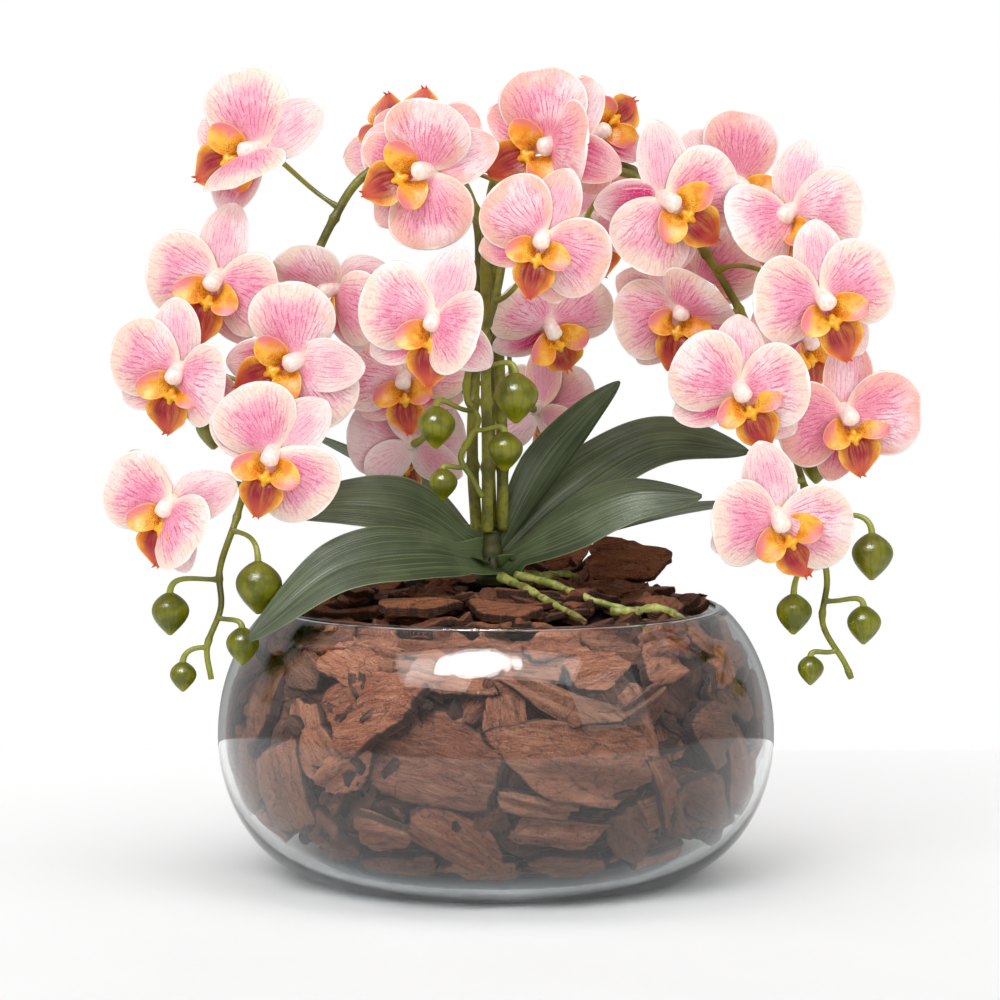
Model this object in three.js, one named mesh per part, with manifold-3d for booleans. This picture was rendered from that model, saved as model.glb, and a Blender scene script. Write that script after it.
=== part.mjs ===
// A potted moth orchid: a squat glass bowl filled with bark, a crown with strap leaves and aerial roots,
// and four arching flower spikes with their open flowers and buds. Millimetres, +Z up. The origin is the
// centre of the bowl's foot, on the surface that it stands on. The plant's front faces -Y.
import * as THREE from "three";
import { mergeVertices } from "three/addons/utils/BufferGeometryUtils.js";
import Module from "manifold-3d";

const wasm = await Module();
wasm.setup();

// ---------------------------------------------------------------- driving dimensions, in millimetres

const gap = 0.4; // between pieces that touch

const bowl = {
  radius: 130, // widest, outside
  height: 126,
  bulgeHeight: 66, // where it is widest
  footRadius: 78, // flat disc that it stands on
  mouthRadius: 105, // outside of the rim
  wall: 3,
  base: 5,
};

const bark = {
  settle: 7, // how far the bed's edge lies below the rim
  heap: 15, // how far the bed's middle rises above its edge
  backRise: 7, // extra height behind the plant
  lump: 1.6, // roughness of its top
  chipThickness: 5,
};

const crown = { radius: 9, height: 24 };

const leafThickness = 2;
const rootRadius = 2.2;

const spike = {
  stalkRadius: 2.8, // at the crown
  tipRadius: 1.3, // at the last bud
  pedicelRadius: 1.1,
};

const flower = {
  petalLength: 34,
  petalWidth: 37,
  dorsalLength: 34,
  dorsalWidth: 25,
  sepalLength: 32,
  sepalWidth: 22,
  sepalsBehind: 2.4, // how far the three sepals start behind the petals
  arch: 3, // how far a petal or sepal bows forward
  thickness: 1.5,
  lipLength: 31,
  lipWidth: 17,
  lobeLength: 16,
  lobeWidth: 11,
  columnLength: 11,
  columnRadius: 3,
  heartRadius: 4,
};

// ---------------------------------------------------------------- what the dimensions above settle

// The sprays' routes and places are drawn for flowers and a bowl of these sizes. They spread as far as
// larger flowers need to clear each other, or a wider bowl needs to stay clear of the buds.
const drawnFor = { petalLength: 34, petalWidth: 37, dorsalLength: 34, bowlRadius: 130, crownZ: 130 };
const spread = Math.max(
  flower.petalLength / drawnFor.petalLength,
  flower.petalWidth / drawnFor.petalWidth,
  flower.dorsalLength / drawnFor.dorsalLength,
  bowl.radius / drawnFor.bowlRadius,
);

const bedEdgeZ = bowl.height - bark.settle;
const crownFoot = new THREE.Vector3(-2, -6, bedEdgeZ + bark.heap + bark.lump + gap);
const crownTopZ = crownFoot.z + crown.height;

// A place in the sprays, stretched by spread from where the bowl's axis passes the crown's foot.
const place = (x, y, z) =>
  new THREE.Vector3(x * spread, y * spread, crownFoot.z + (z - drawnFor.crownZ) * spread);

// ---------------------------------------------------------------- solids

function solidOf(geometry) {
  const bare = geometry.index ? geometry.toNonIndexed() : geometry.clone();
  bare.deleteAttribute("normal");
  bare.deleteAttribute("uv");
  const merged = mergeVertices(bare, 1e-3);
  return new wasm.Manifold(
    new wasm.Mesh({
      numProp: 3,
      vertProperties: merged.attributes.position.array,
      triVerts: new Uint32Array(merged.index.array),
    }),
  );
}

function geometryOf(solid) {
  const mesh = solid.getMesh();
  const points = new Float32Array(mesh.numVert * 3);
  for (let i = 0; i < mesh.numVert; i++)
    points.set(mesh.vertProperties.subarray(i * mesh.numProp, i * mesh.numProp + 3), i * 3);
  return new THREE.BufferGeometry()
    .setAttribute("position", new THREE.BufferAttribute(points, 3))
    .setIndex(new THREE.BufferAttribute(new Uint32Array(mesh.triVerts), 1));
}

const joined = (geometries) =>
  geometryOf(geometries.map(solidOf).reduce((whole, piece) => whole.add(piece)).simplify(0.25));

// Moves each point of a sphere geometry to map(t, s, h): t runs from pole to pole, s and h are the
// cosine and sine round it, and s, h and t are a right-handed set. A sphere is closed, so whatever it
// is shaped into is closed too.
function shapedSphere(round, along, map) {
  const geometry = new THREE.SphereGeometry(1, round, along);
  const points = geometry.attributes.position;
  const uv = geometry.attributes.uv;
  for (let i = 0; i < points.count; i++) {
    const t = 1 - uv.getY(i);
    const pole = t < 1e-6 || t > 1 - 1e-6;
    const turn = pole ? 0 : Math.round(uv.getX(i) * round) * ((2 * Math.PI) / round);
    const p = map(t, -Math.sin(turn), -Math.cos(turn), pole);
    points.setXYZ(i, p.x, p.y, p.z);
  }
  return geometry;
}

// A thin blade with a lens section along a spine: a leaf, petal, sepal or lip lobe. outline(t) is its
// half width, as a share of the widest, and keel lifts its edges above its middle.
const edgeShare = Math.cos(Math.PI / 6); // how far out the corners of a three or six sided section lie
function blade({ spine, side, width, outline, thickness, keel = 0, round = 3, along = 4 }) {
  return shapedSphere(round, along, (t, s, h, pole) => {
    const centre = spine.getPoint(t);
    if (pole) return centre;
    const tangent = spine.getTangent(t);
    const across = side.clone().addScaledVector(tangent, -side.dot(tangent)).normalize();
    const normal = new THREE.Vector3().crossVectors(tangent, across);
    const reach = outline(t) / edgeShare;
    return centre
      .addScaledVector(across, (s * reach * width) / 2)
      .addScaledVector(normal, (h * thickness) / 2 + keel * s * s * reach);
  });
}

// A round tube that narrows from one end to the other.
function tube(curve, startRadius, endRadius, sides, steps) {
  const section = new THREE.Shape(
    Array.from({ length: sides }, (_, i) => {
      const turn = (i / sides) * 2 * Math.PI;
      return new THREE.Vector2(startRadius * Math.cos(turn), startRadius * Math.sin(turn));
    }),
  );
  const geometry = new THREE.ExtrudeGeometry(section, {
    steps,
    curveSegments: 1,
    bevelEnabled: false,
    extrudePath: curve,
  });
  const rings = Array.from({ length: steps + 1 }, (_, i) => curve.getPointAt(i / steps));
  const points = geometry.attributes.position;
  const p = new THREE.Vector3();
  for (let i = 0; i < points.count; i++) {
    p.fromBufferAttribute(points, i);
    let nearest = 0;
    rings.forEach((ring, k) => {
      if (ring.distanceToSquared(p) < rings[nearest].distanceToSquared(p)) nearest = k;
    });
    const share = 1 + (endRadius / startRadius - 1) * (nearest / steps);
    p.sub(rings[nearest]).multiplyScalar(share).add(rings[nearest]);
    points.setXYZ(i, p.x, p.y, p.z);
  }
  return geometry;
}

const smooth = (points) => new THREE.CatmullRomCurve3(points, false, "centripetal");

const parts = new THREE.Group();
function node(name, geometry, material) {
  const mesh = new THREE.Mesh(geometry, material);
  mesh.name = name;
  parts.add(mesh);
  return mesh;
}

// ---------------------------------------------------------------- materials

const finish = (color, roughness) => new THREE.MeshStandardMaterial({ color, roughness, metalness: 0 });
const glass = new THREE.MeshStandardMaterial({
  color: 0xdfe9e8,
  roughness: 0.05,
  metalness: 0,
  transparent: true,
  opacity: 0.3,
});
const barkBrown = finish(0x6e3a26, 0.9);
const leafGreen = finish(0x44553a, 0.5);
const stemGreen = finish(0x6b6a24, 0.45);
const rootGreen = finish(0x9aa24b, 0.6);
const petalPink = finish(0xeda4b8, 0.55);

// ---------------------------------------------------------------- glass bowl

// Half widths of the bowl at its wall's outside when inset is 0, or further in. Below the bulge the
// wall is a quarter of an ellipse that leaves the foot level, and above it part of a taller one.
const bowlSides = 30;
const wallSteps = 4;
function wallPoints(inset, floorZ) {
  const swell = bowl.radius - inset - bowl.footRadius;
  const points = [];
  for (let i = 0; i <= wallSteps; i++) {
    const turn = (i / wallSteps) * (Math.PI / 2);
    points.push(
      new THREE.Vector2(
        bowl.footRadius + swell * Math.sin(turn),
        floorZ + (bowl.bulgeHeight - floorZ) * (1 - Math.cos(turn)),
      ),
    );
  }
  const mouthTurn = Math.acos((bowl.mouthRadius - inset - bowl.footRadius) / swell);
  const rise = (bowl.height - bowl.bulgeHeight) / Math.sin(mouthTurn);
  for (let i = 1; i <= wallSteps; i++) {
    const turn = (i / wallSteps) * mouthTurn;
    points.push(
      new THREE.Vector2(
        bowl.footRadius + swell * Math.cos(turn),
        bowl.bulgeHeight + rise * Math.sin(turn),
      ),
    );
  }
  return points;
}

const upright = (geometry) => geometry.rotateX(Math.PI / 2); // a lathe turns about Y, the bowl about Z

function bowlGeometry() {
  const outside = wallPoints(0, 0);
  const inside = wallPoints(bowl.wall, bowl.base).reverse();
  const profile = [new THREE.Vector2(0, 0), ...outside, ...inside, new THREE.Vector2(0, bowl.base)];
  return upright(new THREE.LatheGeometry(profile, bowlSides));
}

// ---------------------------------------------------------------- bark

// Height of the bed's top over a point, without its lumps.
function bedTop(x, y) {
  const reach = Math.min(1, Math.hypot(x, y) / (bowl.mouthRadius - bowl.wall));
  const back = Math.max(0, y / bowl.mouthRadius) * (1 - reach ** 4) * 2;
  return bedEdgeZ + bark.heap * (1 - reach ** 2.2) + bark.backRise * Math.min(1, back);
}

function bedGeometry() {
  const wall = wallPoints(bowl.wall + gap, bowl.base + gap);
  const above = wall.findIndex((p) => p.y >= bedEdgeZ);
  const [low, high] = [wall[above - 1], wall[above]];
  const brim = low.clone().lerp(high, (bedEdgeZ - low.y) / (high.y - low.y));
  const rings = 4;
  const edge = brim.x;
  const top = Array.from({ length: rings - 1 }, (_, i) => edge * (1 - (i + 1) / rings));
  const profile = [
    new THREE.Vector2(0, bowl.base + gap),
    ...wall.slice(0, above),
    brim,
    ...top.map((r) => new THREE.Vector2(r, bedEdgeZ)),
    new THREE.Vector2(0, bedEdgeZ),
  ];
  const geometry = upright(new THREE.LatheGeometry(profile, bowlSides));
  const points = geometry.attributes.position;
  for (let i = 0; i < points.count; i++) {
    const [x, y, z] = [points.getX(i), points.getY(i), points.getZ(i)];
    if (Math.abs(z - bedEdgeZ) > 1e-3 || Math.hypot(x, y) > edge - 1) continue;
    const lump = bark.lump * Math.sin(x / 9 + 1) * Math.cos(y / 8);
    points.setZ(i, bedTop(x, y) + lump);
  }
  return geometry;
}

// A flat chip with broken edges, resting on the bed's highest lump below it.
function chipGeometry({ x, y, long, wide, turn, tip }) {
  const geometry = shapedSphere(7, 4, (t, s, h, pole) => {
    const ragged = 1 + 0.14 * Math.sin(11 * t + 5 * s + x) + 0.1 * Math.cos(7 * h + y);
    const body = pole ? 0 : Math.sin(Math.PI * t) ** 0.55 * ragged;
    return new THREE.Vector3(
      (t - 0.5) * long,
      (s * body * wide) / 2,
      (h * body * bark.chipThickness) / 2,
    );
  });
  geometry.rotateX(THREE.MathUtils.degToRad(tip));
  geometry.rotateZ(THREE.MathUtils.degToRad(turn));
  geometry.translate(x, y, 0);
  const points = geometry.attributes.position;
  const lifts = Array.from(
    { length: points.count },
    (_, i) => bedTop(points.getX(i), points.getY(i)) + bark.lump + gap - points.getZ(i),
  );
  return geometry.translate(0, 0, Math.max(...lifts));
}

const chips = [
  { x: 62, y: 34, long: 46, wide: 26, turn: -15, tip: 55 },
  { x: 28, y: 58, long: 44, wide: 28, turn: 20, tip: 50 },
  { x: -24, y: 62, long: 48, wide: 26, turn: -12, tip: 40 },
  { x: -62, y: 36, long: 40, wide: 24, turn: 50, tip: 25 },
  { x: -66, y: -26, long: 36, wide: 22, turn: 100, tip: 8 },
  { x: -34, y: -66, long: 42, wide: 24, turn: 12, tip: 6 },
  { x: 6, y: -78, long: 34, wide: 20, turn: -10, tip: 10 },
  { x: 74, y: -34, long: 38, wide: 22, turn: 75, tip: 12 },
];

// ---------------------------------------------------------------- crown, leaves and roots

function crownGeometry() {
  const profile = [
    [0, 0],
    [crown.radius * 0.85, 0],
    [crown.radius, crown.height * 0.3],
    [crown.radius, crown.height * 0.85],
    [crown.radius * 0.9, crown.height],
    [0, crown.height],
  ].map(([r, z]) => new THREE.Vector2(r, z));
  return upright(new THREE.LatheGeometry(profile, 8)).translate(crownFoot.x, crownFoot.y, crownFoot.z);
}

const leafOutline = (t) => Math.sin(Math.PI * t ** 0.8) ** 0.62 * (0.55 + 0.45 * Math.min(1, t * 2.2));
const leafSide = (x, y, z) => new THREE.Vector3(x, y, z).normalize();

// Where a leaf or root leaves the crown: a bearing round it from +X, and a height above its foot.
function beside(bearing, dz) {
  const turn = THREE.MathUtils.degToRad(bearing);
  const reach = crown.radius + gap;
  return new THREE.Vector3(reach * Math.cos(turn), reach * Math.sin(turn), dz).add(crownFoot);
}
const fromCrown = (dx, dy, dz) => new THREE.Vector3(dx, dy, dz).add(crownFoot);
const rimTop = bowl.height;
const over = (share) => bowl.mouthRadius * share;

const leaves = [
  {
    name: "leaf_left_front",
    width: 36,
    keel: 1.5,
    side: leafSide(0.2, -0.75, -0.65),
    route: [
      beside(235, 12),
      fromCrown(-32, -38, 17),
      new THREE.Vector3(-over(0.67), -62, rimTop + 22),
      new THREE.Vector3(-over(1.05), -74, rimTop - 9),
    ],
  },
  {
    name: "leaf_left_middle",
    width: 35,
    keel: 3,
    side: leafSide(0, -0.7, -0.7),
    route: [beside(175, 16), fromCrown(-34, -8, 33), fromCrown(-66, -14, 38), fromCrown(-96, -14, 34)],
  },
  {
    name: "leaf_left_back",
    width: 24,
    keel: 5,
    side: leafSide(0.4, -1, -0.3),
    route: [beside(130, 20), fromCrown(-36, 46, 40), fromCrown(-60, 70, 52), fromCrown(-88, 84, 66)],
  },
  {
    name: "leaf_upright",
    width: 21,
    keel: 4,
    side: leafSide(0.62, 0.1, -0.5),
    route: [beside(55, 19), fromCrown(24, 16, 54), fromCrown(42, 16, 76), fromCrown(60, 14, 94)],
  },
  {
    name: "leaf_right_back",
    width: 38,
    keel: 3,
    side: leafSide(0.1, 0.75, 0.8),
    route: [beside(35, 15), fromCrown(38, 24, 42), fromCrown(78, 32, 64), fromCrown(122, 32, 60)],
  },
  {
    name: "leaf_right_front",
    width: 34,
    keel: 3,
    side: leafSide(0.1, -0.75, -0.7),
    route: [beside(-30, 14), fromCrown(33, -20, 29), fromCrown(64, -28, 43), fromCrown(96, -28, 43)],
  },
  {
    name: "leaf_right_low",
    width: 34,
    keel: 2,
    side: leafSide(0, 1, 0.1),
    route: [beside(5, 9), fromCrown(44, 8, 22), fromCrown(82, 12, 32), fromCrown(118, 12, 38)],
  },
];

const lying = (x, y, lift = 0) =>
  new THREE.Vector3(x, y, bedTop(x, y) + bark.lump + gap + rootRadius + lift);

const roots = [
  [lying(2, -20, 3), lying(14, -40, 1), lying(27, -64), lying(40, -84, 1)],
  [lying(10, -14, 3), lying(27, -32, 2), lying(44, -48), lying(66, -58)],
  [
    lying(52, -66, 1),
    lying(61, -71, 4),
    new THREE.Vector3(72, -78, rimTop + rootRadius + 4),
    new THREE.Vector3(84, -88, rimTop + rootRadius),
  ],
  [lying(12, -8, 3), lying(22, -2, 2), lying(32, 2, 3), lying(40, 0, 2)],
];

// ---------------------------------------------------------------- flowers

const petalOutline = (t) => Math.sin(Math.PI * t ** 1.4) ** 0.65;
const sepalOutline = (t) => Math.sin(Math.PI * t ** 0.95) ** 0.75;
const lobeOutline = (t) => Math.sin(Math.PI * t ** 1.5) ** 0.7;

const straightOut = new THREE.Vector3(0, 0, 1); // the way a flower faces, in its own frame

// One petal or sepal, in the flower's own frame: it faces +Z and angles are counted clockwise from +Y.
// fold tips it forward, and behind is how far it starts behind the heart.
function tepal({ angle, length, width, outline, behind, fold }) {
  const turn = THREE.MathUtils.degToRad(angle);
  const tipUp = THREE.MathUtils.degToRad(fold);
  const out = new THREE.Vector3(
    Math.sin(turn) * Math.cos(tipUp),
    Math.cos(turn) * Math.cos(tipUp),
    Math.sin(tipUp),
  );
  const side = new THREE.Vector3(Math.cos(turn), -Math.sin(turn), 0);
  const front = new THREE.Vector3().crossVectors(side, out);
  const start = new THREE.Vector3(0, 0, -behind);
  const middle = out.clone().multiplyScalar(length * 0.55).addScaledVector(front, flower.arch).add(start);
  const end = out.clone().multiplyScalar(length).add(start);
  const spine = new THREE.QuadraticBezierCurve3(start, middle, end);
  return blade({ spine, side, width, outline, thickness: flower.thickness });
}

// The lip's middle lobe and its two side lobes. It points down (-Y) until it is turned to its angle.
function lipPieces(angle) {
  const start = new THREE.Vector3(0, -1, 0);
  const mid = blade({
    spine: new THREE.QuadraticBezierCurve3(
      start,
      new THREE.Vector3(0, -flower.lipLength * 0.4, flower.lipLength * 0.4),
      new THREE.Vector3(0, -flower.lipLength, flower.lipLength * 0.16),
    ),
    side: new THREE.Vector3(1, 0, 0),
    width: flower.lipWidth,
    outline: lobeOutline,
    thickness: flower.thickness,
  });
  const lobes = [-1, 1].map((hand) =>
    blade({
      spine: new THREE.LineCurve3(
        start,
        new THREE.Vector3(hand * flower.lobeLength * 0.8, -flower.lobeLength * 0.7, flower.lobeLength * 0.6),
      ),
      side: new THREE.Vector3(hand * 0.6, 1, 0.2),
      width: flower.lobeWidth,
      outline: lobeOutline,
      thickness: flower.thickness,
      along: 3,
    }),
  );
  return [mid, ...lobes].map((piece) => piece.rotateZ(THREE.MathUtils.degToRad(180 - angle)));
}

// The column, with a fat foot that everything else in the flower grows from.
function columnPiece() {
  return shapedSphere(5, 4, (t, s, h) => {
    const foot = flower.heartRadius * Math.sin(Math.PI * Math.min(0.999, t * 1.6)) ** 0.5;
    const rod = flower.columnRadius * Math.sin(Math.PI * t) ** 0.3;
    const r = t < 0.6 ? Math.max(foot, rod) : rod;
    return new THREE.Vector3(s * r, h * r, t * (flower.columnLength + flower.heartRadius) - flower.heartRadius);
  });
}

// turns are the angles of the dorsal sepal, the left and right petal, the left and right sepal and the
// lip. folds are how far the dorsal sepal and the two petals tip forward. All are in degrees.
function flowerGeometry({ turns, folds = [0, 8, 8] }) {
  const petal = { length: flower.petalLength, width: flower.petalWidth, outline: petalOutline, behind: 0 };
  const behind = flower.sepalsBehind;
  const dorsal = { length: flower.dorsalLength, width: flower.dorsalWidth, outline: sepalOutline, behind };
  const sepal = { length: flower.sepalLength, width: flower.sepalWidth, outline: sepalOutline, behind };
  return joined([
    tepal({ ...dorsal, angle: turns[0], fold: folds[0] }),
    tepal({ ...petal, angle: turns[1], fold: folds[1] }),
    tepal({ ...petal, angle: turns[2], fold: folds[2] }),
    tepal({ ...sepal, angle: turns[3], fold: 0 }),
    tepal({ ...sepal, angle: turns[4], fold: 0 }),
    ...lipPieces(turns[5]),
    columnPiece(),
  ]);
}

// Turns a flower from its own frame to where it faces. yaw turns its face to +X and dip turns it down.
function facing(yaw, dip) {
  const rad = THREE.MathUtils.degToRad;
  return new THREE.Quaternion().setFromEuler(new THREE.Euler(rad(90 + dip), 0, rad(yaw), "ZYX"));
}

// Each spike: its route from the crown, its open flowers, and its buds. A flower is at a place, on a
// stalk that leaves the route at a share of its length, and a bud hangs at a place.
const spikes = [
  {
    name: "left",
    route: [
      [-9, 0, 155], [-11, -1, 192], [-9, 3, 250], [-9, 4, 300], [-22, 4, 324], [-44, 2, 328],
      [-63, 0, 318], [-76, -2, 298], [-86, -4, 276], [-97, -10, 245], [-107, -18, 212], [-114, -28, 180],
      [-118, -40, 163], [-125, -48, 140], [-124, -54, 124], [-130, -58, 106], [-128, -60, 92],
    ],
    flowers: [
      {
        at: 0.5, x: -110, y: -6, z: 331, yaw: -22, dip: 0, size: 1.1,
        turns: [57, -12, 165, -70, 215, 246], folds: [0, 5, 62],
      },
      {
        at: 0.58, x: -72, y: -27, z: 268, yaw: -42, dip: 6, size: 0.95,
        turns: [76, -30, 122, -58, 165, 228], folds: [0, 52, 8],
      },
      {
        at: 0.6, x: -127, y: -16, z: 272, yaw: -16, dip: 4, size: 1.04,
        turns: [11, -81, 112, -112, 160, 197], folds: [0, 12, 20],
      },
      {
        at: 0.66, x: -90, y: -42, z: 235, yaw: -6, dip: 2, size: 1.04,
        turns: [95, -5, 148, -92, 190, 245], folds: [25, 8, 10],
      },
      {
        at: 0.7, x: -144, y: -30, z: 230, yaw: -14, dip: 8, size: 1.0,
        turns: [-3, -69, 107, -115, 120, 193], folds: [0, 5, 35],
      },
      {
        at: 0.76, x: -100, y: -60, z: 194, yaw: -2, dip: 4, size: 1.0,
        turns: [48, -24, 137, -60, 165, 194],
      },
      {
        at: 0.8, x: -145, y: -62, z: 171, yaw: -18, dip: 4, size: 0.97,
        turns: [72, -68, 138, -42, 172, 193], folds: [0, 8, 40],
      },
    ],
    buds: [
      { at: 0.72, x: -132, y: 2, z: 202, size: 0.85 },
      { at: 0.85, x: -107, y: -56, z: 133, size: 1.05 },
      { at: 0.9, x: -147, y: -54, z: 121, size: 0.85 },
      { at: 0.94, x: -114, y: -60, z: 107, size: 0.75 },
      { at: 0.97, x: -141, y: -58, z: 93, size: 0.6 },
    ],
  },
  {
    name: "right",
    route: [
      [3, -2, 155], [3, -2, 192], [1, -1, 250], [0, 0, 298], [9, 1, 315], [34, 2, 319],
      [56, 4, 322], [74, 6, 314], [92, 6, 292], [110, 4, 264], [124, 0, 236], [134, -8, 204],
      [142, -14, 178], [149, -22, 152], [152, -28, 134], [150, -30, 114], [160, -32, 96], [163, -32, 89],
    ],
    flowers: [
      {
        at: 0.46, x: 77, y: -27, z: 308, yaw: 14, dip: 6, size: 1.05,
        turns: [-8, 205, 75, 265, 165, 128], folds: [0, 15, 5],
      },
      {
        at: 0.54, x: 136, y: -15, z: 302, yaw: -26, dip: 0, size: 1.05,
        turns: [12, 242, 88, 258, 150, 192], folds: [0, 60, 5],
      },
      {
        at: 0.58, x: 147, y: -40, z: 263, yaw: 10, dip: 2, size: 1.05,
        turns: [-4, -92, 66, -110, 140, 157], folds: [0, 20, 5],
      },
      {
        at: 0.62, x: 84, y: -16, z: 258, yaw: 8, dip: 4, size: 0.97,
        turns: [-62, -105, 40, 215, 110, 190], folds: [0, 8, 62],
      },
      {
        at: 0.68, x: 110, y: -48, z: 222, yaw: 2, dip: 4, size: 1.0,
        turns: [-2, -62, 80, -112, 128, 155], folds: [0, 5, 26],
      },
      {
        at: 0.72, x: 159, y: -30, z: 211, yaw: 12, dip: 4, size: 1.02,
        turns: [3, -105, 88, -88, 190, 165], folds: [0, 10, 28],
      },
      {
        at: 0.8, x: 127, y: -52, z: 165, yaw: 4, dip: 12, size: 1.04,
        turns: [-15, -92, 98, -118, 140, 152], folds: [0, 25, 25],
      },
    ],
    buds: [
      { at: 0.74, x: 150, y: 6, z: 184, size: 0.7 },
      { at: 0.84, x: 172, y: -32, z: 145, size: 0.95 },
      { at: 0.88, x: 136, y: -36, z: 119, size: 0.82 },
      { at: 0.92, x: 168, y: -36, z: 114, size: 0.78 },
      { at: 0.97, x: 144, y: -34, z: 93, size: 0.6 },
    ],
  },
  {
    name: "centre",
    route: [
      [-4, -10, 155], [-4, -11, 192], [-5, -10, 250], [-4, -9, 300], [0, -16, 318], [4, -28, 306],
      [3, -34, 280], [-2, -36, 256], [-12, -34, 232], [-13, -36, 217], [-8, -38, 208], [-12, -40, 199],
      [-16, -41, 191], [-11, -42, 182], [-6, -42, 173],
    ],
    flowers: [
      {
        at: 0.56, x: 25, y: -32, z: 332, yaw: -8, dip: 0, size: 1.06,
        turns: [35, -10, 92, -60, 110, 245], folds: [0, 5, 58],
      },
      {
        at: 0.6, x: -31, y: -40, z: 320, yaw: -12, dip: -4, size: 1.05,
        turns: [68, 8, 172, -65, 225, 250], folds: [0, 30, 8],
      },
      {
        at: 0.7, x: 21, y: -64, z: 290, yaw: -4, dip: 4, size: 0.94,
        turns: [22, -45, 120, -102, 168, 193],
      },
      {
        at: 0.76, x: -27, y: -60, z: 254, yaw: -6, dip: 4, size: 1.04,
        turns: [20, -72, 112, -120, 132, 185], folds: [0, 5, 52],
      },
    ],
    buds: [
      { at: 0.8, x: 9, y: -48, z: 218, size: 1.0 },
      { at: 0.86, x: -27, y: -50, z: 205, size: 0.85 },
      { at: 0.89, x: 4, y: -48, z: 194, size: 0.8 },
      { at: 0.95, x: -24, y: -46, z: 179, size: 0.65 },
    ],
  },
  {
    name: "back",
    route: [
      [-2, 3, 155], [-3, 8, 192], [-1, 12, 240], [-1, 14, 290], [4, 22, 322], [24, 34, 334], [52, 40, 330],
      [80, 40, 314], [102, 36, 292], [114, 32, 270],
    ],
    flowers: [
      {
        at: 0.22, x: -40, y: 18, z: 194, yaw: -150, dip: 10, size: 0.95,
        turns: [0, -76, 76, -122, 122, 180],
      },
      {
        at: 0.32, x: 20, y: 53, z: 209, yaw: 140, dip: 10, size: 0.95,
        turns: [0, -76, 76, -122, 122, 180],
      },
      {
        at: 0.4, x: -42, y: 3, z: 226, yaw: -10, dip: 6, size: 0.9,
        turns: [-10, -86, 66, -132, 112, 175],
      },
      {
        at: 0.5, x: 24, y: -10, z: 252, yaw: 20, dip: 30, size: 0.92,
        turns: [-20, -60, 60, 235, 85, 150],
      },
      {
        at: 0.52, x: -34, y: 16, z: 335, yaw: -15, dip: -15, size: 0.9,
        turns: [170, 250, 82, -60, 62, 0],
      },
      {
        at: 0.58, x: -46, y: 44, z: 333, yaw: -25, dip: -8, size: 0.95,
        turns: [-95, 165, 122, 60, 195, -12],
      },
      {
        at: 0.72, x: 46, y: 20, z: 340, yaw: 30, dip: -5, size: 0.9,
        turns: [-130, -70, 208, -10, 106, 52],
      },
      {
        at: 0.74, x: 46, y: 62, z: 300, yaw: 160, dip: 0, size: 0.95,
        turns: [10, -66, 86, -112, 132, 190],
      },
      {
        at: 0.88, x: 112, y: 31, z: 317, yaw: 20, dip: 0, size: 1.0,
        turns: [-45, -95, 8, -80, 120, 150],
      },
      {
        at: 0.97, x: 95, y: 18, z: 269, yaw: -10, dip: 6, size: 0.95,
        turns: [0, -76, 50, -122, 84, 180],
      },
      {
        at: 0.99, x: 146, y: 34, z: 244, yaw: 30, dip: 10, size: 0.9,
        turns: [-10, -86, 66, -132, 112, 170],
      },
    ],
    buds: [],
  },
];

const bud = { length: 24, radius: 10 };

function budGeometry({ size, at }) {
  const long = bud.length * size;
  const r = bud.radius * size;
  return shapedSphere(5, 4, (t, s, h) => {
    const fat = Math.sin(Math.PI * t ** 1.25) ** 0.75;
    return new THREE.Vector3(at.x + s * r * fat, at.y + h * r * fat, at.z + long * (t - 0.5));
  });
}

// A stalk from a spike's route to a bud's top or a flower's back, arriving along a direction.
function stalkTo(route, share, end, arriving) {
  const start = route.getPointAt(share);
  const reach = start.distanceTo(end) * 0.45;
  const outward = end.clone().sub(start).projectOnPlane(route.getTangentAt(share)).normalize();
  const path = new THREE.CubicBezierCurve3(
    start,
    start.clone().addScaledVector(outward, reach),
    end.clone().addScaledVector(arriving, -reach),
    end,
  );
  return tube(path, spike.pedicelRadius, spike.pedicelRadius, 4, 4);
}

const down = new THREE.Vector3(0, 0, -1);

function spikeGeometry({ route, flowers, buds }) {
  const points = route.map((p) => place(...p));
  points[0].z = crownTopZ + 2 * gap;
  const path = smooth(points);
  const steps = Math.round(path.getLength() / 16);
  const joint = (share) => Math.round(share * steps) / steps;
  const pieces = [tube(path, spike.stalkRadius, spike.tipRadius, 5, steps)];
  for (const f of flowers) {
    const front = straightOut.clone().applyQuaternion(facing(f.yaw, f.dip));
    const back = place(f.x, f.y, f.z).addScaledVector(front, -flower.heartRadius * f.size - gap);
    pieces.push(stalkTo(path, joint(f.at), back, front));
  }
  for (const b of buds) {
    const at = place(b.x, b.y, b.z);
    const top = at.clone();
    top.z += (bud.length * b.size) / 2 - 1.5;
    pieces.push(stalkTo(path, joint(b.at), top, down), budGeometry({ ...b, at }));
  }
  return joined(pieces);
}

// ---------------------------------------------------------------- the whole

node("glass_bowl", bowlGeometry(), glass);
node("bark_bed", bedGeometry(), barkBrown);
chips.forEach((chip, i) => node(`bark_chip_${i + 1}`, chipGeometry(chip), barkBrown));
node("crown", crownGeometry(), leafGreen);
for (const { name, route, side, width, keel } of leaves) {
  const shape = { spine: smooth(route), side, width, keel, thickness: leafThickness };
  node(name, blade({ ...shape, outline: leafOutline, round: 6, along: 9 }), leafGreen);
}
roots.forEach((route, i) =>
  node(`aerial_root_${i + 1}`, tube(smooth(route), rootRadius, rootRadius * 0.45, 6, 7), rootGreen),
);
for (const s of spikes) {
  node(`spike_${s.name}`, spikeGeometry(s), stemGreen);
  s.flowers.forEach((f, i) => {
    const mesh = node(`flower_${s.name}_${i + 1}`, flowerGeometry(f), petalPink);
    mesh.position.copy(place(f.x, f.y, f.z));
    mesh.quaternion.copy(facing(f.yaw, f.dip));
    mesh.scale.setScalar(f.size);
  });
}

export default parts;
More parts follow.
